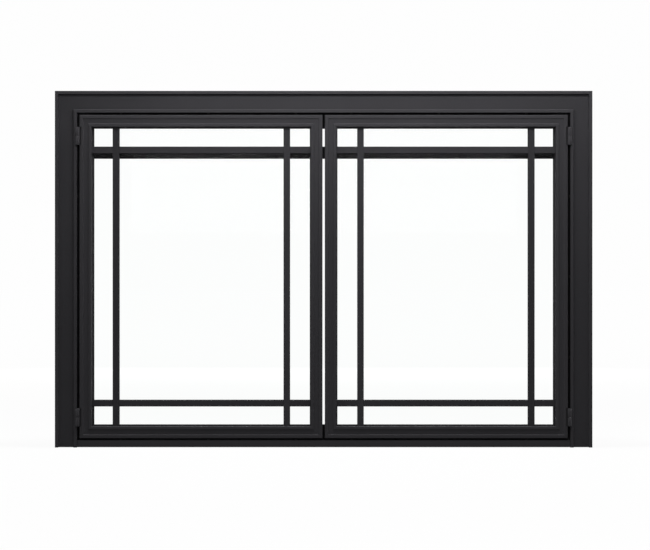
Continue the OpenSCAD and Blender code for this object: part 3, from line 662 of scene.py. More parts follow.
def bar(name, section, length, x, z, edge="up", mitres=MITRED):
    """A bar of this section, in mm, whose outer edge's middle is at x and z, in metres."""
    mesh = bpy.data.meshes.new(name)
    count = len(section)
    mesh.from_pydata([(inward * MM, depth * MM, 0.0) for inward, depth, _ in section],
                     [(i, (i + 1) % count) for i in range(count)], [])
    radii = mesh.attributes.new("corner_radius", "FLOAT", "POINT")
    radii.data.foreach_set("value", [radius * MM for _, _, radius in section])
    piece = new_object(name, mesh)
    run_tree(BAR, piece, {
        "Length": length, "Left mitre": mitres[0], "Right mitre": mitres[1],
        "Corner steps": CORNER_STEPS, "Material": FINISHES["black_powder_coat"],
    })
    piece.data.transform(Matrix.Translation((x, 0.0, z)) @ OUTER_EDGE[edge])
    return piece


def middle(low, high):
    """The point halfway between two."""
    return 0.5 * (low + high)


def box_bar(name, section, node, edge="up"):
    """A bar with square ends that fills the box of a CAD node."""
    low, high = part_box(node)
    if edge == "up":
        return bar(name, section, high.x - low.x, middle(low.x, high.x), high.z, mitres=SQUARE)
    outer = high.x if edge == "right" else low.x
    return bar(name, section, high.z - low.z, outer, middle(low.z, high.z), edge, SQUARE)


print("outer edges face", ", ".join(OUTER_EDGE))

# %% [markdown]
# ## The surround
# The real surround is 2 mm sheet, folded into a channel: a raised rim outside, a flat face set
# back 7 mm, a raised lip around the opening and a narrow return flange on the wall. A fold has
# a round outside corner of about the sheet's thickness and a tighter inside one. The corner
# radii below follow that, and they catch the fine light lines that the photograph shows.

# %% Surround section
SHEET = 2.0
SURROUND_DEPTH = 19.0
FACE_RECESS = 7.0
FACE_W = 43.5
RIM_W = 6.3
LIP_W = 7.0
RETURN_W = 8.0
FOLD_OUT = 1.1
FOLD_IN = 0.5
FOLD_RIM = 0.4
FOLD_LIP = 1.9
CUT_EDGE = 0.3

RIM_Y = -SURROUND_DEPTH
FACE_Y = FACE_RECESS - SURROUND_DEPTH
FACE_BACK = FACE_Y + SHEET
LIP_IN = FACE_W - LIP_W

SURROUND_SECTION = [
    (0.0, 0.0, CUT_EDGE),
    (0.0, RIM_Y, FOLD_RIM),
    (RIM_W, RIM_Y, FOLD_IN),
    (RIM_W, FACE_Y, FOLD_IN),
    (LIP_IN, FACE_Y, FOLD_IN),
    (LIP_IN, RIM_Y, FOLD_LIP),
    (FACE_W, RIM_Y, FOLD_OUT),
    (FACE_W, 0.0, CUT_EDGE),
    (FACE_W - SHEET, 0.0, CUT_EDGE),
    (FACE_W - SHEET, RIM_Y + SHEET, FOLD_IN),
    (LIP_IN + SHEET, RIM_Y + SHEET, FOLD_IN),
    (LIP_IN + SHEET, FACE_BACK, FOLD_OUT),
    (RIM_W - SHEET, FACE_BACK, FOLD_OUT),
    (RIM_W - SHEET, RIM_Y + SHEET, FOLD_IN),
    (SHEET, RIM_Y + SHEET, FOLD_IN),
    (SHEET, -SHEET, FOLD_IN),
    (RETURN_W, -SHEET, CUT_EDGE),
    (RETURN_W, 0.0, CUT_EDGE),
]
print("surround section:", len(SURROUND_SECTION), "corners")

# %% [markdown]
# The CAD model also knows where every screw sits, so nothing about them is typed in again. A
# node such as `frame_screws` holds many small solids in one mesh. Merging its doubles and walking
# from vertex to vertex gives them back one by one, and a screw's head is at its wider end.

# %% Solids of a CAD node
SAME_LEVEL = 10 * MERGE


def extent(points):
    """Lowest corner, highest corner and middle of some points."""
    low = Vector([min(p[i] for p in points) for i in range(3)])
    high = Vector([max(p[i] for p in points) for i in range(3)])
    return low, high, 0.5 * (low + high)


def solids(node):
    """The separate solids of a CAD node, as lists of points, from left to right and upwards."""
    work = bmesh.new()
    work.from_mesh(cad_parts[node].data)
    bmesh.ops.remove_doubles(work, verts=work.verts, dist=MERGE)
    parts = []
    for first in work.verts:
        if first.tag:
            continue
        first.tag = True
        waiting, points = [first], []
        while waiting:
            vertex = waiting.pop()
            points.append(vertex.co.copy())
            for edge in vertex.link_edges:
                near = edge.other_vert(vertex)
                if not near.tag:
                    near.tag = True
                    waiting.append(near)
        parts.append(points)
    work.free()
    return sorted(parts, key=lambda points: tuple(round(v, 4) for v in extent(points)[0]))


print("hinge pins:", len(solids("hinge_pins")))


# %% Where a fastener's head is
def spread(points, axis, level):
    """How wide the points at one level of an axis lie around it."""
    at_level = [p for p in points if abs(p[axis] - level) < SAME_LEVEL]
    low, high, _ = extent(at_level)
    return max(high[i] - low[i] for i in range(3) if i != axis)


def fasteners(node, axis=None):
    """For each screw, nut or pin: the point on its head's end and the way that its head faces."""
    found = []
    for points in solids(node):
        low, high, centre = extent(points)
        size = high - low
        along = max(range(3), key=lambda i: size[i]) if axis is None else axis
        head_high = spread(points, along, high[along]) >= spread(points, along, low[along])
        place, aim = centre.copy(), Vector((0.0, 0.0, 0.0))
        place[along] = high[along] if head_high else low[along]
        aim[along] = 1.0 if head_high else -1.0
        found.append((place, aim))
    return found


print("frame screws:", len(fasteners("frame_screws")))

# %% [markdown]
# A turned part is a profile spun around an axis. The profile below is a list of radius and height
# pairs from the top down. A point on the axis becomes one vertex, so that the ends are closed.

# %% Turned parts
def turned(name, profile, sides):
    """A closed turned body around Z. The profile, in metres, starts and ends on the axis."""
    work = bmesh.new()
    rings = []
    for radius, height in profile:
        around = [2 * math.pi * i / sides for i in range(sides)] if radius > 0 else [0.0]
        rings.append([work.verts.new((radius * math.cos(a), radius * math.sin(a), height)) for a in around])
    for upper, lower in zip(rings, rings[1:]):
        for i in range(sides):
            corners = [upper[i % len(upper)], lower[i % len(lower)],
                       lower[(i + 1) % len(lower)], upper[(i + 1) % len(upper)]]
            work.faces.new(list(dict.fromkeys(corners)))
    mesh = bpy.data.meshes.new(name)
    work.to_mesh(mesh)
    work.free()
    return new_object(name, clean(mesh))


print("a turned part closes on its axis")


# %% Plain blocks and joined pieces
def block(low, high):
    """A plain box between two corners, to cut with or to build on."""
    mesh = bpy.data.meshes.new("Block")
    work = bmesh.new()
    bmesh.ops.create_cube(work, size=1.0)
    size = [abs(h - l) for l, h in zip(low, high)]
    centre = [middle(l, h) for l, h in zip(low, high)]
    stretch = Matrix.Translation(centre) @ Matrix.Diagonal((*size, 1.0))
    bmesh.ops.transform(work, verts=work.verts, matrix=stretch)
    work.to_mesh(mesh)
    work.free()
    return new_object("Block", mesh)


def joined(name, pieces):
    """One piece from several, in their order."""
    work = bmesh.new()
    for piece in pieces:
        work.from_mesh(piece.data)
    mesh = bpy.data.meshes.new(name)
    work.to_mesh(mesh)
    work.free()
    discard(*pieces)
    return new_object(name, mesh)


print("blocks cut laps, notches and recesses")

# %% [markdown]
# Screw holes in the lip are countersunk. Their cutters are turned cones that stand where the CAD
# screws stand, a little wider, and only those within a bar's own box are used on it.

# %% Bores for countersunk screws
CSK_HEAD_R = 3.1 * MM
CSK_HEAD_H = 1.4 * MM
CSK_SHANK_R = 1.7 * MM
SPARE = 0.1 * MM
BORE_SIDES = 32
BORE_OVER = 0.5 * MM


def aimed(place, aim):
    """The matrix that stands a part with its head's top at place and faces it along aim."""
    return Matrix.Translation(place) @ aim.to_track_quat("Z", "Y").to_matrix().to_4x4()


def bores(node, length, low, high):
    """One cutter with a countersunk bore for each screw of the node inside a box."""
    head, shank = CSK_HEAD_R + SPARE, CSK_SHANK_R + SPARE
    profile = [(0.0, BORE_OVER), (head, BORE_OVER), (head, 0.0),
               (shank, -CSK_HEAD_H), (shank, -length), (0.0, -length)]
    cutters = []
    for place, aim in fasteners(node):
        if all(l - BORE_OVER < p < h + BORE_OVER for l, p, h in zip(low, place, high)):
            cutter = turned("Bore", profile, BORE_SIDES)
            cutter.data.transform(aimed(place, aim))
            cutters.append(cutter)
    return joined("Bores", cutters)


print("bores are", SPARE, "m wider than their screws")

# %% [markdown]
# The hinge barrels stand in the gap between the surround and the doors. The lip and the hinge
# stiles are notched beside them, so that the knuckles turn freely. The notches follow the pins.

# %% Notches beside the hinges
RELIEF_DEPTH = 6.0 * MM
RELIEF_SPARE = 0.5 * MM
KNUCKLE_R = 4.0 * MM
SIDES = {"left": -1, "right": 1}

pins = [extent(points) for points in solids("hinge_pins")]
PIN_X = pins[-1][2].x
PIN_Y = pins[-1][2].y


def hinge_reliefs(side, near_x, far_x):
    """The space cut away around both barrels of one side, between two distances from the middle."""
    cutters = []
    for low, high, centre in pins:
        if centre.x * SIDES[side] > 0:
            xs = sorted(SIDES[side] * x for x in (near_x, far_x))
            cutters.append(block((xs[0], PIN_Y - 2 * KNUCKLE_R, low.z - RELIEF_SPARE),
                                 (xs[1], PIN_Y + RELIEF_DEPTH, high.z + RELIEF_SPARE)))
    return joined("Reliefs", cutters)


print("pins stand", 2 * PIN_X, "m apart")

# %% [markdown]
# The rail is mitred at both ends. The legs are mitred at the top and end square on the hearth.
# Every cutter reaches past the faces that it opens, because a Boolean with two faces in the same
# plane may go wrong.

# %% The three sides of the surround
HALF_W = front_high.x
HEIGHT = front_high.z
OPEN_X = HALF_W - FACE_W * MM
FRAME_SCREW_L = 7.0 * MM
LIP_RELIEF = 0.6 * MM
OVERSHOOT = 1.0 * MM


def surround_rail():
    """The level top rail, bored for the screws of the stops."""
    piece = bar("folded_top_rail", SURROUND_SECTION, 2 * HALF_W, 0.0, HEIGHT)
    low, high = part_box("surround_top_rail")
    cut(piece, bores("frame_screws", FRAME_SCREW_L, low, high))
    return mount(piece, "surround", "black_powder_coat", "surround_top_rail")


def surround_stile(side):
    """One leg, notched for its hinges and bored for its screws."""
    sign = SIDES[side]
    mitres = (1.0, 0.0) if sign > 0 else (0.0, 1.0)
    piece = bar(f"folded_{side}_stile", SURROUND_SECTION, HEIGHT, sign * HALF_W, HEIGHT / 2, side, mitres)
    low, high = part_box(f"surround_{side}_stile")
    reliefs = hinge_reliefs(side, OPEN_X - OVERSHOOT, PIN_X + KNUCKLE_R + LIP_RELIEF)
    cut(piece, reliefs, bores("frame_screws", FRAME_SCREW_L, low, high))
    return mount(piece, "surround", "black_powder_coat", f"surround_{side}_stile")


for piece in (surround_rail(), surround_stile("left"), surround_stile("right")):
    print(piece.name, len(piece.data.polygons), "faces")

# %% [markdown]
# ## Sill, stops and tie bar
# The sill is a low channel between the legs of the surround, with a welded tab at each end. Its
# height and depth are read from the CAD node, and its wall and folds are those of the surround.

# %% Sill
SILL_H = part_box("sill")[1].z / MM
SILL_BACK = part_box("sill")[1].y / MM
TAB_T = 2.5 * MM
TAB_TOP = 9.4 * MM
TAB_BACK = -1.0 * MM

SILL_SECTION = [
    (0.0, FACE_Y, FOLD_RIM),
    (SILL_H, FACE_Y, FOLD_RIM),
    (SILL_H, SILL_BACK, CUT_EDGE),
    (SILL_H - SHEET, SILL_BACK, CUT_EDGE),
    (SILL_H - SHEET, FACE_BACK, FOLD_IN),
    (SHEET, FACE_BACK, FOLD_IN),
    (SHEET, 0.0, CUT_EDGE),
    (0.0, 0.0, CUT_EDGE),
]


def sill():
    """The channel with its two end tabs, bored for their screws."""
    channel = bar("Channel", SILL_SECTION, 2 * OPEN_X, 0.0, SILL_H * MM, mitres=SQUARE)
    low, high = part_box("sill")
    cut(channel, bores("frame_screws", FRAME_SCREW_L, (low.x, low.y, SILL_H * MM - MERGE), high))
    tabs = []
    for sign in SIDES.values():
        near, far = sorted((sign * OPEN_X, sign * (OPEN_X - TAB_T)))
        tab = block((near, FACE_BACK * MM, SHEET * MM), (far, TAB_BACK, TAB_TOP))
        cut(tab, bores("frame_screws", FRAME_SCREW_L, (near, low.y, low.z), (far, high.y, TAB_TOP)))
        tabs.append(tab)
    piece = joined("folded_sill", [channel, *tabs])
    return mount(piece, "surround", "black_powder_coat", "sill")


print(sill().name, "is", 2 * OPEN_X, "m long")

# %% [markdown]
# The stops are angles: a leg behind the lip and a flange that the doors close against. The one
# on the sill is welded from two flats. The flat tie bar joins the two side stops behind the glass.

# %% Sections of the stops and the tie bar
STOP_LEG_T = 2.5
STOP_FRONT = -14.0
FLANGE_FRONT = 10.0
FLANGE_BACK = 13.0
STOP_FOLD = 2.6
TIE_BAR_R = 0.6
SILL_STOP_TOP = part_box("sill_stop")[1].z / MM
SILL_LEG_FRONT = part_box("sill_stop")[0].y / MM
SILL_LEG_DROP = SILL_STOP_TOP - (SILL_H - SHEET)

SILL_STOP_SECTION = [
    (0.0, FLANGE_BACK, CUT_EDGE),
    (SILL_STOP_TOP, FLANGE_BACK, CUT_EDGE),
    (SILL_STOP_TOP, FLANGE_FRONT, CUT_EDGE),
    (SILL_LEG_DROP + STOP_LEG_T, FLANGE_FRONT, FOLD_IN),
    (SILL_LEG_DROP + STOP_LEG_T, SILL_LEG_FRONT, CUT_EDGE),
    (SILL_LEG_DROP, SILL_LEG_FRONT, CUT_EDGE),
    (SILL_LEG_DROP, FLANGE_FRONT, FOLD_IN),
    (0.0, FLANGE_FRONT, CUT_EDGE),
]


def stop_section(low, high):
    """An angle whose flange is as wide as the shorter front side of a box of the frame."""
    width = min(high.x - low.x, high.z - low.z) / MM
    return [(0.0, FLANGE_BACK, STOP_FOLD), (0.0, STOP_FRONT, CUT_EDGE),
            (STOP_LEG_T, STOP_FRONT, CUT_EDGE), (STOP_LEG_T, FLANGE_FRONT, FOLD_IN),
            (width, FLANGE_FRONT, CUT_EDGE), (width, FLANGE_BACK, CUT_EDGE)]


def flat_section(low, high):
    """A flat bar's section, from a box of the frame."""
    drop = (high.z - low.z) / MM
    return [(0.0, low.y / MM, TIE_BAR_R), (0.0, high.y / MM, TIE_BAR_R),
            (drop, high.y / MM, TIE_BAR_R), (drop, low.y / MM, TIE_BAR_R)]


print("sill stop section:", len(SILL_STOP_SECTION), "corners")


# %% Stops and tie bar
def rear_bar(node, name, section, edge="up"):
    """A bar behind the doors that stands for its CAD node."""
    mount(box_bar(name, section, node, edge), "surround", "black_powder_coat", node)
    print(name, "fills the box of", node)


rear_bar("head_stop", "angle_head_stop", stop_section(*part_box("head_stop")))
for side in SIDES:
    rear_bar(f"{side}_jamb", f"angle_{side}_jamb", stop_section(*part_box(f"{side}_jamb")), side)
rear_bar("sill_stop", "welded_sill_stop", SILL_STOP_SECTION)
rear_bar("tie_bar", "flat_tie_bar", flat_section(*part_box("tie_bar")))

# %% [markdown]
# ## Door frames
# Each door frame is one extruded section with a stepped moulding, cut in mitres at the four
# corners and held by keys in its hollow. The hollow is cut out of the swept bar with a second,
# smaller bar. The hinge stile also has a notch beside each barrel.

# %% Door section
DOOR_FRONT = -20.0
DOOR_BACK = 8.0
SHELF_Y = 0.0
WALL = 2.0
LEG_T = 3.0
MOULDING_W = 23.4
GLAZING_LIP_W = 2.0
OUTER_BAND_W = 6.5
SUNK_BAND_W = 8.1
STEP = 1.7
EDGE_R = 1.2
STEP_R = 0.6
SUNK_START = OUTER_BAND_W + STEP
SUNK_END = SUNK_START + SUNK_BAND_W
LIP_END = MOULDING_W + GLAZING_LIP_W

DOOR_SECTION = [
    (0.0, DOOR_FRONT, EDGE_R),
    (OUTER_BAND_W, DOOR_FRONT, STEP_R),
    (SUNK_START, DOOR_FRONT + STEP, STEP_R),
    (SUNK_END, DOOR_FRONT + STEP, STEP_R),
    (SUNK_END + STEP, DOOR_FRONT, STEP_R),
    (MOULDING_W, DOOR_FRONT, EDGE_R),
    (MOULDING_W, SHELF_Y - WALL, CUT_EDGE),
    (LIP_END, SHELF_Y - WALL, CUT_EDGE),
    (LIP_END, SHELF_Y, CUT_EDGE),
    (LEG_T, SHELF_Y, CUT_EDGE),
    (LEG_T, DOOR_BACK, CUT_EDGE),
    (0.0, DOOR_BACK, CUT_EDGE),
]
HOLLOW_SECTION = [
    (WALL, DOOR_FRONT + STEP + WALL, CUT_EDGE),
    (MOULDING_W - WALL, DOOR_FRONT + STEP + WALL, CUT_EDGE),
    (MOULDING_W - WALL, SHELF_Y - WALL, CUT_EDGE),
    (WALL, SHELF_Y - WALL, CUT_EDGE),
]
DOOR_RELIEF = 3.4 * MM

print("door section:", len(DOOR_SECTION), "corners around", len(HOLLOW_SECTION))


# %% Door frames
def hollow_bar(name, length, x, z, edge):
    """A mitred bar of the door frame, open at both ends."""
    shell = bar(name, DOOR_SECTION, length, x, z, edge)
    return cut(shell, bar("Hollow", HOLLOW_SECTION, length + OVERSHOOT, x, z, edge))


def door_frame(side):
    """The two rails and two stiles of one door."""
    body = f"{side}_door"
    inner = "left" if side == "right" else "right"
    low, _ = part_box(f"{body}_bottom_rail")
    _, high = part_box(f"{body}_top_rail")
    width, height = high.x - low.x, high.z - low.z
    x, z = middle(low.x, high.x), middle(low.z, high.z)
    outer_x, inner_x = (high.x, low.x) if side == "right" else (low.x, high.x)
    hinge_stile = hollow_bar(f"{side}_hinge_stile", height, outer_x, z, side)
    cut(hinge_stile, hinge_reliefs(side, abs(outer_x) - DOOR_RELIEF, abs(outer_x) + OVERSHOOT))
    made = {
        "top_rail": hollow_bar(f"{side}_top_rail", width, x, high.z, "up"),
        "bottom_rail": hollow_bar(f"{side}_bottom_rail", width, x, low.z, "down"),
        "hinge_stile": hinge_stile,
        "meeting_stile": hollow_bar(f"{side}_meeting_stile", height, inner_x, z, inner),
    }
    for part, piece in made.items():
        mount(piece, body, "black_powder_coat", f"{body}_{part}")
    print(body, "frame", round(width, 4), "by", round(height, 4), "m")


for side in SIDES:
    door_frame(side)

# %% [markdown]
# ## Muntins
# The muntins are flat bars behind the moulding. Where two of them cross they are half-lapped:
# the upright keeps its front half and the level one its back half. Each lap is cut with the box
# of the bar that passes through.

# %% Muntins
MUNTIN_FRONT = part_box("right_outer_muntin")[0].y / MM
MUNTIN_W = 13.0
MUNTIN_R = 0.7
LAP_Y = middle(MUNTIN_FRONT, SHELF_Y - WALL) * MM
LAP_SPARE = 0.1 * MM

MUNTIN_SECTION = [
    (0.0, SHELF_Y - WALL, CUT_EDGE),
    (0.0, MUNTIN_FRONT, MUNTIN_R),
    (MUNTIN_W, MUNTIN_FRONT, MUNTIN_R),
    (MUNTIN_W, SHELF_Y - WALL, CUT_EDGE),
]


def lap(node, front):
    """A cutter for a lap over the given muntin: its front half or its back half."""
    low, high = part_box(node)
    grow = Vector((LAP_SPARE, 0.0, LAP_SPARE))
    near, far = low - grow, high + grow
    if front:
        near.y, far.y = low.y - OVERSHOOT, LAP_Y + LAP_SPARE / 2
    else:
        near.y, far.y = LAP_Y - LAP_SPARE / 2, high.y + OVERSHOOT
    return block(near, far)


def muntins(side):
    """Two uprights that lose their back half at each lap, and two level bars that lose the front."""
    uprights = [f"{side}_outer_muntin", f"{side}_inner_muntin"]
    levels = [f"{side}_upper_muntin", f"{side}_lower_muntin"]
    for nodes, crossed, edge in ((uprights, levels, "right"), (levels, uprights, "up")):
        for node in nodes:
            piece = box_bar(f"{node}_bar", MUNTIN_SECTION, node, edge)
            cut(piece, *[lap(other, front=nodes is levels) for other in crossed])
            mount(piece, f"{side}_door", "black_powder_coat", node)


for side in SIDES:
    muntins(side)
print("muntins on both doors")

# %% [markdown]
# ## Pressed and machined parts
# Hinge leaves, brackets, the strike plates and the panes have the right shape in the CAD model,
# with holes and slots. What they lack is the small rounding that a real edge has. So each is a
# copy of its CAD node: the loose triangles are merged into flat faces and a Bevel modifier eases
# the sharp edges.

# %% Eased copies
FLAT = math.radians(0.4)
SHARP = math.radians(38)
EDGE_STEPS = 2


def ease(piece, width, steps=EDGE_STEPS):
    """Rounds the sharp edges. A corner that the Bevel modifier pushes out is brought back in."""
    low, high, _ = extent([vertex.co for vertex in piece.data.vertices])
    step = piece.modifiers.new("Eased edges", "BEVEL")
    step.width = width
    step.segments = steps
    step.limit_method = "ANGLE"
    step.angle_limit = SHARP
    bake_modifiers(piece)
    for vertex in piece.data.vertices:
        vertex.co = [min(max(v, l), h) for l, v, h in zip(low, vertex.co, high)]
    return piece


def eased(node, name, width):
    """A copy of a CAD node with its sharp edges rounded."""
    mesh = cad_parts[node].data.copy()
    mesh.name = name
    work = bmesh.new()
    work.from_mesh(mesh)
    bmesh.ops.remove_doubles(work, verts=work.verts, dist=MERGE)
    bmesh.ops.dissolve_limit(work, angle_limit=FLAT, verts=work.verts, edges=work.edges)
    work.to_mesh(mesh)
    work.free()
    return ease(new_object(name, mesh), width)


print("edges sharper than", round(math.degrees(SHARP)), "degrees are rounded")

# %% Leaves, brackets, strike plates and panes
LEAF_EASE = 0.35 * MM
PLATE_EASE = 0.4 * MM
STRIKE_EASE = 0.3 * MM
PANE_EASE = 0.6 * MM


def eased_piece(node, name, width, body, finish):
    """A mounted copy of a CAD node with its edges rounded."""
    mount(eased(node, name, width), body, finish, node)


for side in SIDES:
    door = f"{side}_door"
    for level in ("upper", "lower"):
        for part, body in (("frame", "surround"), ("door", door)):
            eased_piece(f"{side}_{level}_{part}_leaf", f"{side}_{level}_{part}_hinge", LEAF_EASE,
                        body, "black_powder_coat")
    eased_piece(f"{side}_anchor_bracket", f"{side}_anchor_plate", PLATE_EASE, "surround", "black_powder_coat")
    eased_piece(f"{side}_strike_plate", f"{side}_strike", STRIKE_EASE, door, "zinc_plate")
    eased_piece(f"{side}_glass", f"{side}_pane", PANE_EASE, door, "clear_glass")
eased_piece("lintel_brackets", "lintel_plates", PLATE_EASE, "surround", "black_powder_coat")
eased_piece("corner_brackets", "corner_plates", PLATE_EASE, "surround", "zinc_plate")
print("leaves, brackets, strike plates and panes have eased edges")

# %% [markdown]
# ## Screws, nuts and studs
# There are 68 screws, 4 rivets, 8 nuts and 8 studs, of a few kinds. One of each kind is turned
# and cut, and a Geometry Nodes tree sets copies of it on points. The points come from the CAD
# solids, and each carries the direction that its head faces. A random turn about that axis, from
# a fixed seed, keeps the recesses from lining up, as they never do on a real object.

# %% The fastener tree
def fastener_tree():
    """Sets a copy of a part on each point, aimed along the point's own direction."""
    inputs = {"Part": "Object", "Turn": "Float", "Seed": "Int", "Material": "Material"}
    tree, start, given = new_tree("Fasteners on points", inputs)
    aim = start.node("GeometryNodeInputNamedAttribute", {"data_type": "FLOAT_VECTOR"}, {"Name": "aim"})
    facing = start.node("FunctionNodeAlignRotationToVector", {"axis": "Z"}, {"Vector": aim})
    chance = start.node("FunctionNodeRandomValue", {"data_type": "FLOAT"}, {"Seed": given["Seed"]}, output=1)
    turn = start.node("FunctionNodeAxisAngleToRotation", sockets={
        "Axis": (0.0, 0.0, 1.0), "Angle": chance * given["Turn"],
    })
    standing = start.node("FunctionNodeRotateRotation", {"rotation_space": "LOCAL"}, {
        "Rotation": facing, "Rotate By": turn,
    })
    part = start.node("GeometryNodeObjectInfo", sockets={"Object": given["Part"]}, output="Geometry")
    copies = start.node("GeometryNodeInstanceOnPoints", sockets={
        "Points": start, "Instance": part, "Rotation": standing,
    })
    end_tree(copies, given["Material"])
    return tree


FASTENERS = fastener_tree()
FULL_TURN = 2 * math.pi


def place_copies(name, part, spots, body, finish, nodes=(), seed=0):
    """One piece with a copy of the part at each (place, aim)."""
    mesh = bpy.data.meshes.new(name)
    mesh.from_pydata([tuple(place) for place, _ in spots], [], [])
    aims = mesh.attributes.new("aim", "FLOAT_VECTOR", "POINT")
    aims.data.foreach_set("vector", [value for _, aim in spots for value in aim])
    piece = new_object(name, mesh)
    run_tree(FASTENERS, piece, {"Part": part, "Turn": FULL_TURN, "Seed": seed, "Material": FINISHES[finish]})
    print(name, len(spots), "copies")
    return mount(piece, body, finish, *nodes)


print("fastener tree:", len(FASTENERS.nodes), "nodes")

# %% [markdown]
# A screw's thread shows where its end stands out behind the sheet. It is drawn as a row of
# V-shaped ridges, so its outer radius stays that of the CAD shank. Rings in place of a helix keep
# the profile a plain list, and nobody can tell them apart at this size.

# %% Threads
SCREW_SIDES = 32
THREAD_DEPTH = 0.22 * MM
THREAD_END = 0.6 * MM
POINT = 0.4 * MM
PITCH = 0.8 * MM


def thread(radius, top, bottom, pitch=PITCH):
    """Profile points of a threaded shank, from the top down, with a chamfered end."""
    root = radius - THREAD_DEPTH
    count = max(1, int((top - bottom - THREAD_END) / pitch))
    points = [(root, top)]
    for i in range(count):
        points.append((radius, top - (i + 0.5) * pitch))
        points.append((root, top - (i + 1.0) * pitch))
    return points + [(root, bottom + POINT), (root - POINT, bottom), (0.0, bottom)]


print("thread pitch", PITCH, "m")

# %% [markdown]
# The screws on the front side are countersunk, with a cross recess for the driver. The recess is
# cut with two wings that taper towards the bottom, as a driver's tip does.

# %% Countersunk screws
RIM_BREAK = 0.15 * MM
CSK_NECK = 0.2 * MM
CSK_PITCH = 0.7 * MM
CSK_RECESS = 1.1 * MM
WING_L, WING_T = 0.58, 0.17
WING_TAPER = (0.45, 0.6)


def cross_recess(radius, depth):
    """Two tapered wings that cross. Their sizes are shares of the head's radius."""
    wing, thick = WING_L * radius, WING_T * radius
    cutters = []
    for turn in (0.0, math.pi / 2):
        cutter = block((-wing, -thick, -depth), (wing, thick, depth))
        for vertex in cutter.data.vertices:
            if vertex.co.z < 0:
                vertex.co.x *= WING_TAPER[0]
                vertex.co.y *= WING_TAPER[1]
        cutter.data.transform(Matrix.Rotation(turn, 4, "Z"))
        cutters.append(cutter)
    return cutters


def countersunk_screw(length):
    """A screw with its flat head's top at the origin."""
    profile = [(0.0, 0.0), (CSK_HEAD_R - RIM_BREAK, 0.0), (CSK_HEAD_R, -RIM_BREAK)]
    profile += [(CSK_SHANK_R - THREAD_DEPTH, -CSK_HEAD_H)]
    profile += thread(CSK_SHANK_R, -CSK_HEAD_H - CSK_NECK, -length, CSK_PITCH)
    screw = turned("Countersunk screw", profile, SCREW_SIDES)
    return cut(screw, *cross_recess(CSK_HEAD_R, CSK_RECESS))


LEAF_SCREW_L = 8.0 * MM
frame_screw = countersunk_screw(FRAME_SCREW_L)
leaf_screw = countersunk_screw(LEAF_SCREW_L)
print("countersunk screws", FRAME_SCREW_L, "and", LEAF_SCREW_L, "m long")

# %% [markdown]
# The screws behind the front have round heads with a hexagon socket. The dome is an arc of a few
# points, and the socket is a turned part with only six sides. Its bottom is a shallow cone, as a
# drill leaves it.

# %% Round-headed screws
DOME_STEPS = 6
DOME_R, DOME_H = 0.93, 0.6
SHOULDER = 0.75
SOCKET_R, SOCKET_H, SOCKET_TIP = 0.42, 0.6, 0.75
HEXAGON = 6


def dome(radius, height):
    """Profile points of a low dome of this radius at its rim and this height."""
    angles = [0.5 * math.pi * i / DOME_STEPS for i in range(DOME_STEPS + 1)]
    return [(radius * math.sin(a), -height * (1 - math.cos(a))) for a in angles]


def round_screw(shank_r, head_r, head_h, length):
    """A screw with its round head's top at the origin."""
    profile = dome(DOME_R * head_r, DOME_H * head_h)
    profile += [(head_r, -SHOULDER * head_h), (head_r, -head_h + RIM_BREAK), (head_r - RIM_BREAK, -head_h)]
    profile += thread(shank_r, -head_h, -head_h - length)
    screw = turned("Round-headed screw", profile, SCREW_SIDES)
    socket_r = SOCKET_R * head_r
    socket_profile = [(0.0, head_h), (socket_r, head_h),
                      (socket_r, -SOCKET_H * head_h), (0.0, -SOCKET_TIP * head_h)]
    return cut(screw, turned("Socket", socket_profile, HEXAGON))


PAN_SIZES = (2.4 * MM, 4.4 * MM, 2.6 * MM)
SMALL_SIZES = (1.5 * MM, 2.9 * MM, 1.8 * MM)
REAR_SCREW_L = 6.0 * MM
CATCH_SCREW_L = 8.0 * MM
CLIP_SCREW_L = 6.2 * MM
rear_screw = round_screw(*PAN_SIZES, REAR_SCREW_L)
catch_screw = round_screw(*SMALL_SIZES, CATCH_SCREW_L)
clip_screw = round_screw(*SMALL_SIZES, CLIP_SCREW_L)
print("round-headed screws", REAR_SCREW_L, CATCH_SCREW_L, "and", CLIP_SCREW_L, "m long")

# %% Screws of the surround
Y_AXIS = 1
SURROUND_SCREWS = {
    "frame_screws": (frame_screw, None, "blackened_screw", 3),
    "frame_leaf_screws": (leaf_screw, None, "blackened_screw", 5),
    "rear_screws": (rear_screw, Y_AXIS, "zinc_plate", 7),
    "catch_screws": (catch_screw, Y_AXIS, "zinc_plate", 9),
}
for node, (screw, axis, finish, seed) in SURROUND_SCREWS.items():
    place_copies(f"{node}_placed", screw, fasteners(node, axis), "surround", finish, [node], seed)

# %% [markdown]
# The clip screws of a door and the two flush rivets of its strike plate share one CAD node. A
# rivet has the same radius at both ends, and that tells the two apart.

# %% Clip screws and rivets
RIVET_R = SMALL_SIZES[0]
RIVET_DENT_R, RIVET_DENT = 0.5 * MM, 0.1 * MM
RIVET_EASE = 0.2 * MM
rivet = turned("Rivet", [(0.0, -RIVET_DENT), (RIVET_DENT_R, 0.0), (RIVET_R - RIVET_EASE, 0.0),
                         (RIVET_R, -RIVET_EASE), (RIVET_R, -CLIP_SCREW_L), (0.0, -CLIP_SCREW_L)], SCREW_SIDES)


def has_head(points):
    """True where the solid is clearly wider than a rivet."""
    low, high, _ = extent(points)
    return high.x - low.x > 2.5 * RIVET_R


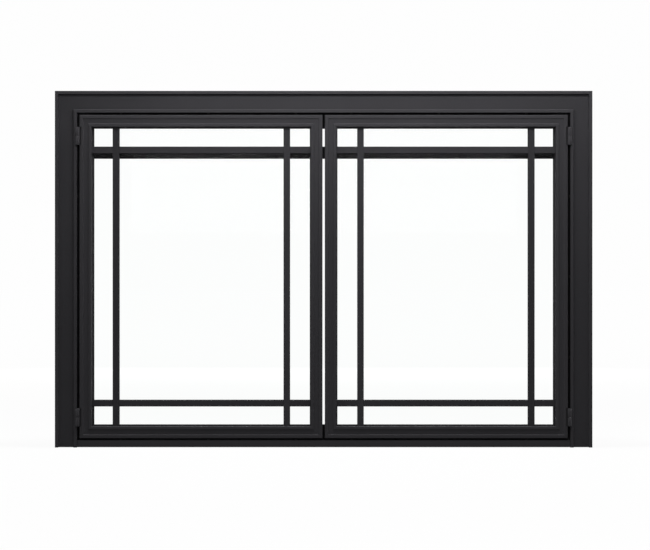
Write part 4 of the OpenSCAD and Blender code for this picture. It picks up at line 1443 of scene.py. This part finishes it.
for number, side in enumerate(SIDES):
    door, clip_node, leaf_node = f"{side}_door", f"{side}_clip_screws", f"{side}_door_leaf_screws"
    headed = [has_head(points) for points in solids(clip_node)]
    spots = fasteners(clip_node, Y_AXIS)
    place_copies(f"{clip_node}_placed", clip_screw, [s for s, h in zip(spots, headed) if h],
                 door, "zinc_plate", [clip_node], seed=11 + number)
    place_copies(f"{side}_strike_rivets", rivet, [s for s, h in zip(spots, headed) if not h],
                 door, "zinc_plate", seed=15 + number)
    place_copies(f"{side}_leaf_screws_placed", leaf_screw, fasteners(leaf_node),
                 door, "blackened_screw", [leaf_node], seed=17 + number)

# %% [markdown]
# Four studs are welded behind each mitre of the surround, and nuts hold the corner brackets on
# them. A real nut is a hexagon bar whose corners were turned down, so the prism is intersected
# with a turned barrel.

# %% Nuts
NUT_R = 4.6 * MM
NUT_H = 4.0 * MM
NUT_BEVEL = 0.45 * MM
NUT_FLAT = 0.88
BARREL_SIDES = 48
STUD_R = 2.5 * MM
THREAD_GAP = 0.05 * MM
BORE_BREAK = 0.35 * MM


def hex_nut():
    """A nut with its top at the origin."""
    prism = turned("Nut", [(0.0, 0.0), (NUT_R, 0.0), (NUT_R, -NUT_H), (0.0, -NUT_H)], HEXAGON)
    flat = NUT_FLAT * NUT_R
    barrel = turned("Barrel", [(0.0, 0.0), (flat, 0.0), (NUT_R, -NUT_BEVEL), (NUT_R, NUT_BEVEL - NUT_H),
                               (flat, -NUT_H), (0.0, -NUT_H)], BARREL_SIDES)
    boolean(prism, barrel, "INTERSECT")
    bake_modifiers(prism)
    discard(barrel)
    bore = STUD_R + THREAD_GAP
    mouth = bore + BORE_BREAK
    hole = turned("Hole", [(0.0, OVERSHOOT), (mouth, OVERSHOOT), (mouth, 0.0), (bore, -BORE_BREAK),
                           (bore, BORE_BREAK - NUT_H), (mouth, -NUT_H), (mouth, -NUT_H - OVERSHOOT),
                           (0.0, -NUT_H - OVERSHOOT)], BORE_SIDES)
    return cut(prism, hole)


nut_spots = [(Vector((centre.x, high.y, centre.z)), Vector((0.0, 1.0, 0.0)))
             for low, high, centre in map(extent, solids("corner_nuts"))]
nut = hex_nut()
place_copies("corner_nuts_placed", nut, nut_spots, "surround", "zinc_plate", ["corner_nuts"], seed=21)

# %% Studs
STUD_L = 9.0 * MM
STUD_COLLAR = 0.7 * MM
STUD_CHAMFER = 0.3 * MM
STUD_THREAD_OFF = 0.5 * MM

stud_top = FACE_BACK * MM + STUD_L
stud_root = STUD_R - THREAD_DEPTH
stud_profile = [(0.0, 0.0), (STUD_R - POINT, 0.0), (stud_root, -STUD_CHAMFER)]
stud_profile += thread(STUD_R, -STUD_CHAMFER, -STUD_L + STUD_THREAD_OFF)[1:-3]
stud_profile += [(stud_root, -STUD_L + STUD_COLLAR), (STUD_R, -STUD_L + STUD_CHAMFER),
                 (STUD_R, -STUD_L), (0.0, -STUD_L)]
stud = turned("Stud", stud_profile, SCREW_SIDES)
stud_spots = [(Vector((place.x, stud_top, place.z)), aim) for place, aim in nut_spots]
place_copies("welded_studs", stud, stud_spots, "surround", "zinc_plate", seed=23)
discard(frame_screw, leaf_screw, rear_screw, catch_screw, clip_screw, rivet, nut, stud)

# %% [markdown]
# Each hinge turns on a plain steel pin with broken edges. The pins stay on the surround, so that
# the doors' knuckles turn around them.

# %% Hinge pins
PIN_R = 2.0 * MM
PIN_EASE = 0.4 * MM
pin_low, pin_high, _ = pins[0]
pin_length = pin_high.z - pin_low.z
pin = turned("Pin", [(0.0, 0.0), (PIN_R - PIN_EASE, 0.0), (PIN_R, -PIN_EASE), (PIN_R, PIN_EASE - pin_length),
                     (PIN_R - PIN_EASE, -pin_length), (0.0, -pin_length)], BARREL_SIDES)
pin_spots = [(Vector((centre.x, centre.y, high.z)), Vector((0.0, 0.0, 1.0))) for low, high, centre in pins]
place_copies("hinge_pins_turned", pin, pin_spots, "surround", "steel_pin", ["hinge_pins"])
discard(pin)

# %% [markdown]
# ## Glass clips and gasket
# Each pane rests on a flat woven tape and is held by eight pressed clips with a Z section: a
# foot under the screw, a wall beside the glass and an arm over it. The bar tree sweeps the
# clip's outline too. Each clip lies at the middle of its CAD solid, and the bar of the door frame
# that is nearest to it gives its outer edge.

# %% Glass clips
CLIP_T = 1.2
GLASS_IN = 16.0
GLASS_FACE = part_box("right_glass")[1].y / MM
CLIP_W = 20.0 * MM
GLASS_GAP = 0.1
FOOT_GAP = 0.5
ARM_REACH = 7.0
CLIP_WALL = GLASS_IN - GLASS_GAP
CLIP_ARM = GLASS_IN + ARM_REACH
CLIP_FOOT = LEG_T + FOOT_GAP
CLIP_BEND = 1.0

CLIP_SECTION = [
    (CLIP_FOOT, SHELF_Y, CUT_EDGE),
    (CLIP_WALL, SHELF_Y, CLIP_BEND),
    (CLIP_WALL, GLASS_FACE, CUT_EDGE),
    (CLIP_ARM, GLASS_FACE, CUT_EDGE),
    (CLIP_ARM, GLASS_FACE + CLIP_T, CUT_EDGE),
    (CLIP_WALL - CLIP_T, GLASS_FACE + CLIP_T, CLIP_BEND),
    (CLIP_WALL - CLIP_T, SHELF_Y + CLIP_T, CUT_EDGE),
    (CLIP_FOOT, SHELF_Y + CLIP_T, CUT_EDGE),
]


def clips(side):
    """The eight clips of one door, each laid at the edge of the frame bar that carries it."""
    body = f"{side}_door"
    low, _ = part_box(f"{body}_bottom_rail")
    _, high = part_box(f"{body}_top_rail")
    pieces = []
    for points in solids(f"{side}_glass_clips"):
        place = extent(points)[2]
        gaps = {"left": place.x - low.x, "right": high.x - place.x,
                "down": place.z - low.z, "up": high.z - place.z}
        edge = min(gaps, key=gaps.get)
        x = {"left": low.x, "right": high.x}.get(edge, place.x)
        z = {"down": low.z, "up": high.z}.get(edge, place.z)
        pieces.append(bar("Clip", CLIP_SECTION, CLIP_W, x, z, edge, SQUARE))
    piece = joined(f"{side}_clips_pressed", pieces)
    return mount(piece, body, "zinc_plate", f"{side}_glass_clips")


for side in SIDES:
    print(clips(side).name, "hold the", side, "pane")

# %% [markdown]
# The gasket follows a closed path around the glass. A second small tree sweeps a rounded flat
# section along a rectangle, and the corners of the path are rounded as the tape bends there.

# %% The tape tree
TAPE_EDGE = 0.45
TAPE_EDGE_STEPS = 4
TAPE_BEND_STEPS = 5


def tape_tree():
    """Sweeps a soft-edged flat section around a rectangle with bent corners."""
    inputs = {"Width": "Float", "Height": "Float", "Tape width": "Float", "Tape thickness": "Float",
              "Bend": "Float", "Material": "Material"}
    tree, start, given = new_tree("Tape around a rectangle", inputs)
    path = start.node("GeometryNodeCurvePrimitiveQuadrilateral", sockets={
        "Width": given["Width"], "Height": given["Height"],
    })
    bent = start.node("GeometryNodeFilletCurve", {"mode": "POLY"}, {
        "Curve": path, "Radius": given["Bend"], "Limit Radius": True, "Count": TAPE_BEND_STEPS,
    })
    section = start.node("GeometryNodeCurvePrimitiveQuadrilateral", sockets={
        "Width": given["Tape width"], "Height": given["Tape thickness"],
    })
    soft = start.node("GeometryNodeFilletCurve", {"mode": "POLY"}, {
        "Curve": section, "Radius": given["Tape thickness"] * TAPE_EDGE, "Limit Radius": True,
        "Count": TAPE_EDGE_STEPS,
    })
    swept = start.node("GeometryNodeCurveToMesh", sockets={"Curve": bent, "Profile Curve": soft})
    end_tree(swept, given["Material"])
    return tree


TAPE = tape_tree()
print("tape tree:", len(TAPE.nodes), "nodes")

# %% Gaskets
TAPE_INSET = 1.0 * MM
INNER_BEND = 1.0 * MM


def gasket(side):
    """The tape of one door, as wide as the glazing lip leaves room for."""
    low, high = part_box(f"{side}_gasket")
    tape_w = LIP_END * MM - TAPE_INSET - (GLASS_IN * MM + TAPE_INSET)
    piece = new_object(f"{side}_woven_gasket", bpy.data.meshes.new(f"{side}_woven_gasket"))
    run_tree(TAPE, piece, {
        "Width": high.x - low.x - tape_w, "Height": high.z - low.z - tape_w, "Tape width": tape_w,
        "Tape thickness": high.y - low.y, "Bend": tape_w / 2 + INNER_BEND,
        "Material": FINISHES["fibre_gasket"],
    })
    upright = Matrix.Rotation(math.pi / 2, 4, "X")
    piece.data.transform(Matrix.Translation(middle(low, high)) @ upright)
    now_low, now_high, _ = extent([v.co for v in piece.data.vertices])
    print(piece.name, [round(v, 4) for v in now_high - now_low], "for", [round(v, 4) for v in high - low])
    return mount(piece, f"{side}_door", "fibre_gasket", f"{side}_gasket")


for side in SIDES:
    gasket(side)

# %% [markdown]
# ## Magnetic catches
# No knob or latch shows on the front, so each door is held by a magnetic catch behind its top
# rail: a moulded case with two steel pole plates that meet the strike plate on the door.

# %% Catches
POLE_T = 1.5 * MM
POLE_PROUD = 1.0 * MM
POLE_IN = 3.0 * MM
POLE_BACK = 1.0 * MM
POLE_EASE = 0.25 * MM
CASE_EASE = 0.6 * MM
CASE_STEPS = 3


def catch(side):
    """A moulded case, and two pole plates that stand proud of it."""
    node = f"{side}_magnetic_catch"
    low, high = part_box(node)
    case = ease(block((low.x, low.y + POLE_PROUD, low.z), high), CASE_EASE, CASE_STEPS)
    case.name = f"{side}_catch_case"
    poles = []
    quarter = (high.z - low.z) / 4
    for z in (low.z + quarter, high.z - quarter):
        pole = block((low.x + POLE_IN, low.y, z - POLE_T / 2),
                     (high.x - POLE_IN, high.y - POLE_BACK, z + POLE_T / 2))
        poles.append(ease(pole, POLE_EASE))
    mount(case, "surround", "catch_case", node)
    mount(joined(f"{side}_catch_poles", poles), "surround", "steel_pin")
    print(node, "made")


for side in SIDES:
    catch(side)

# %% [markdown]
# ## Corner keys
# The keys fill the hollow at each corner of a door and show only in the hinge notches. Their CAD
# shape is right as it is, so the nodes stay and take the finish of a blackened casting.

# %% Corner keys
for side in SIDES:
    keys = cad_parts[f"{side}_corner_keys"]
    keys.data.materials.clear()
    keys.data.materials.append(FINISHES["cast_key"])
print("corner keys keep their CAD shape")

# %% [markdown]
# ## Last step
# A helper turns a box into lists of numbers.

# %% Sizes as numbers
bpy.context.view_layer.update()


def plain(box):
    """A box as lists of numbers."""
    return [[float(v) for v in corner] for corner in box]
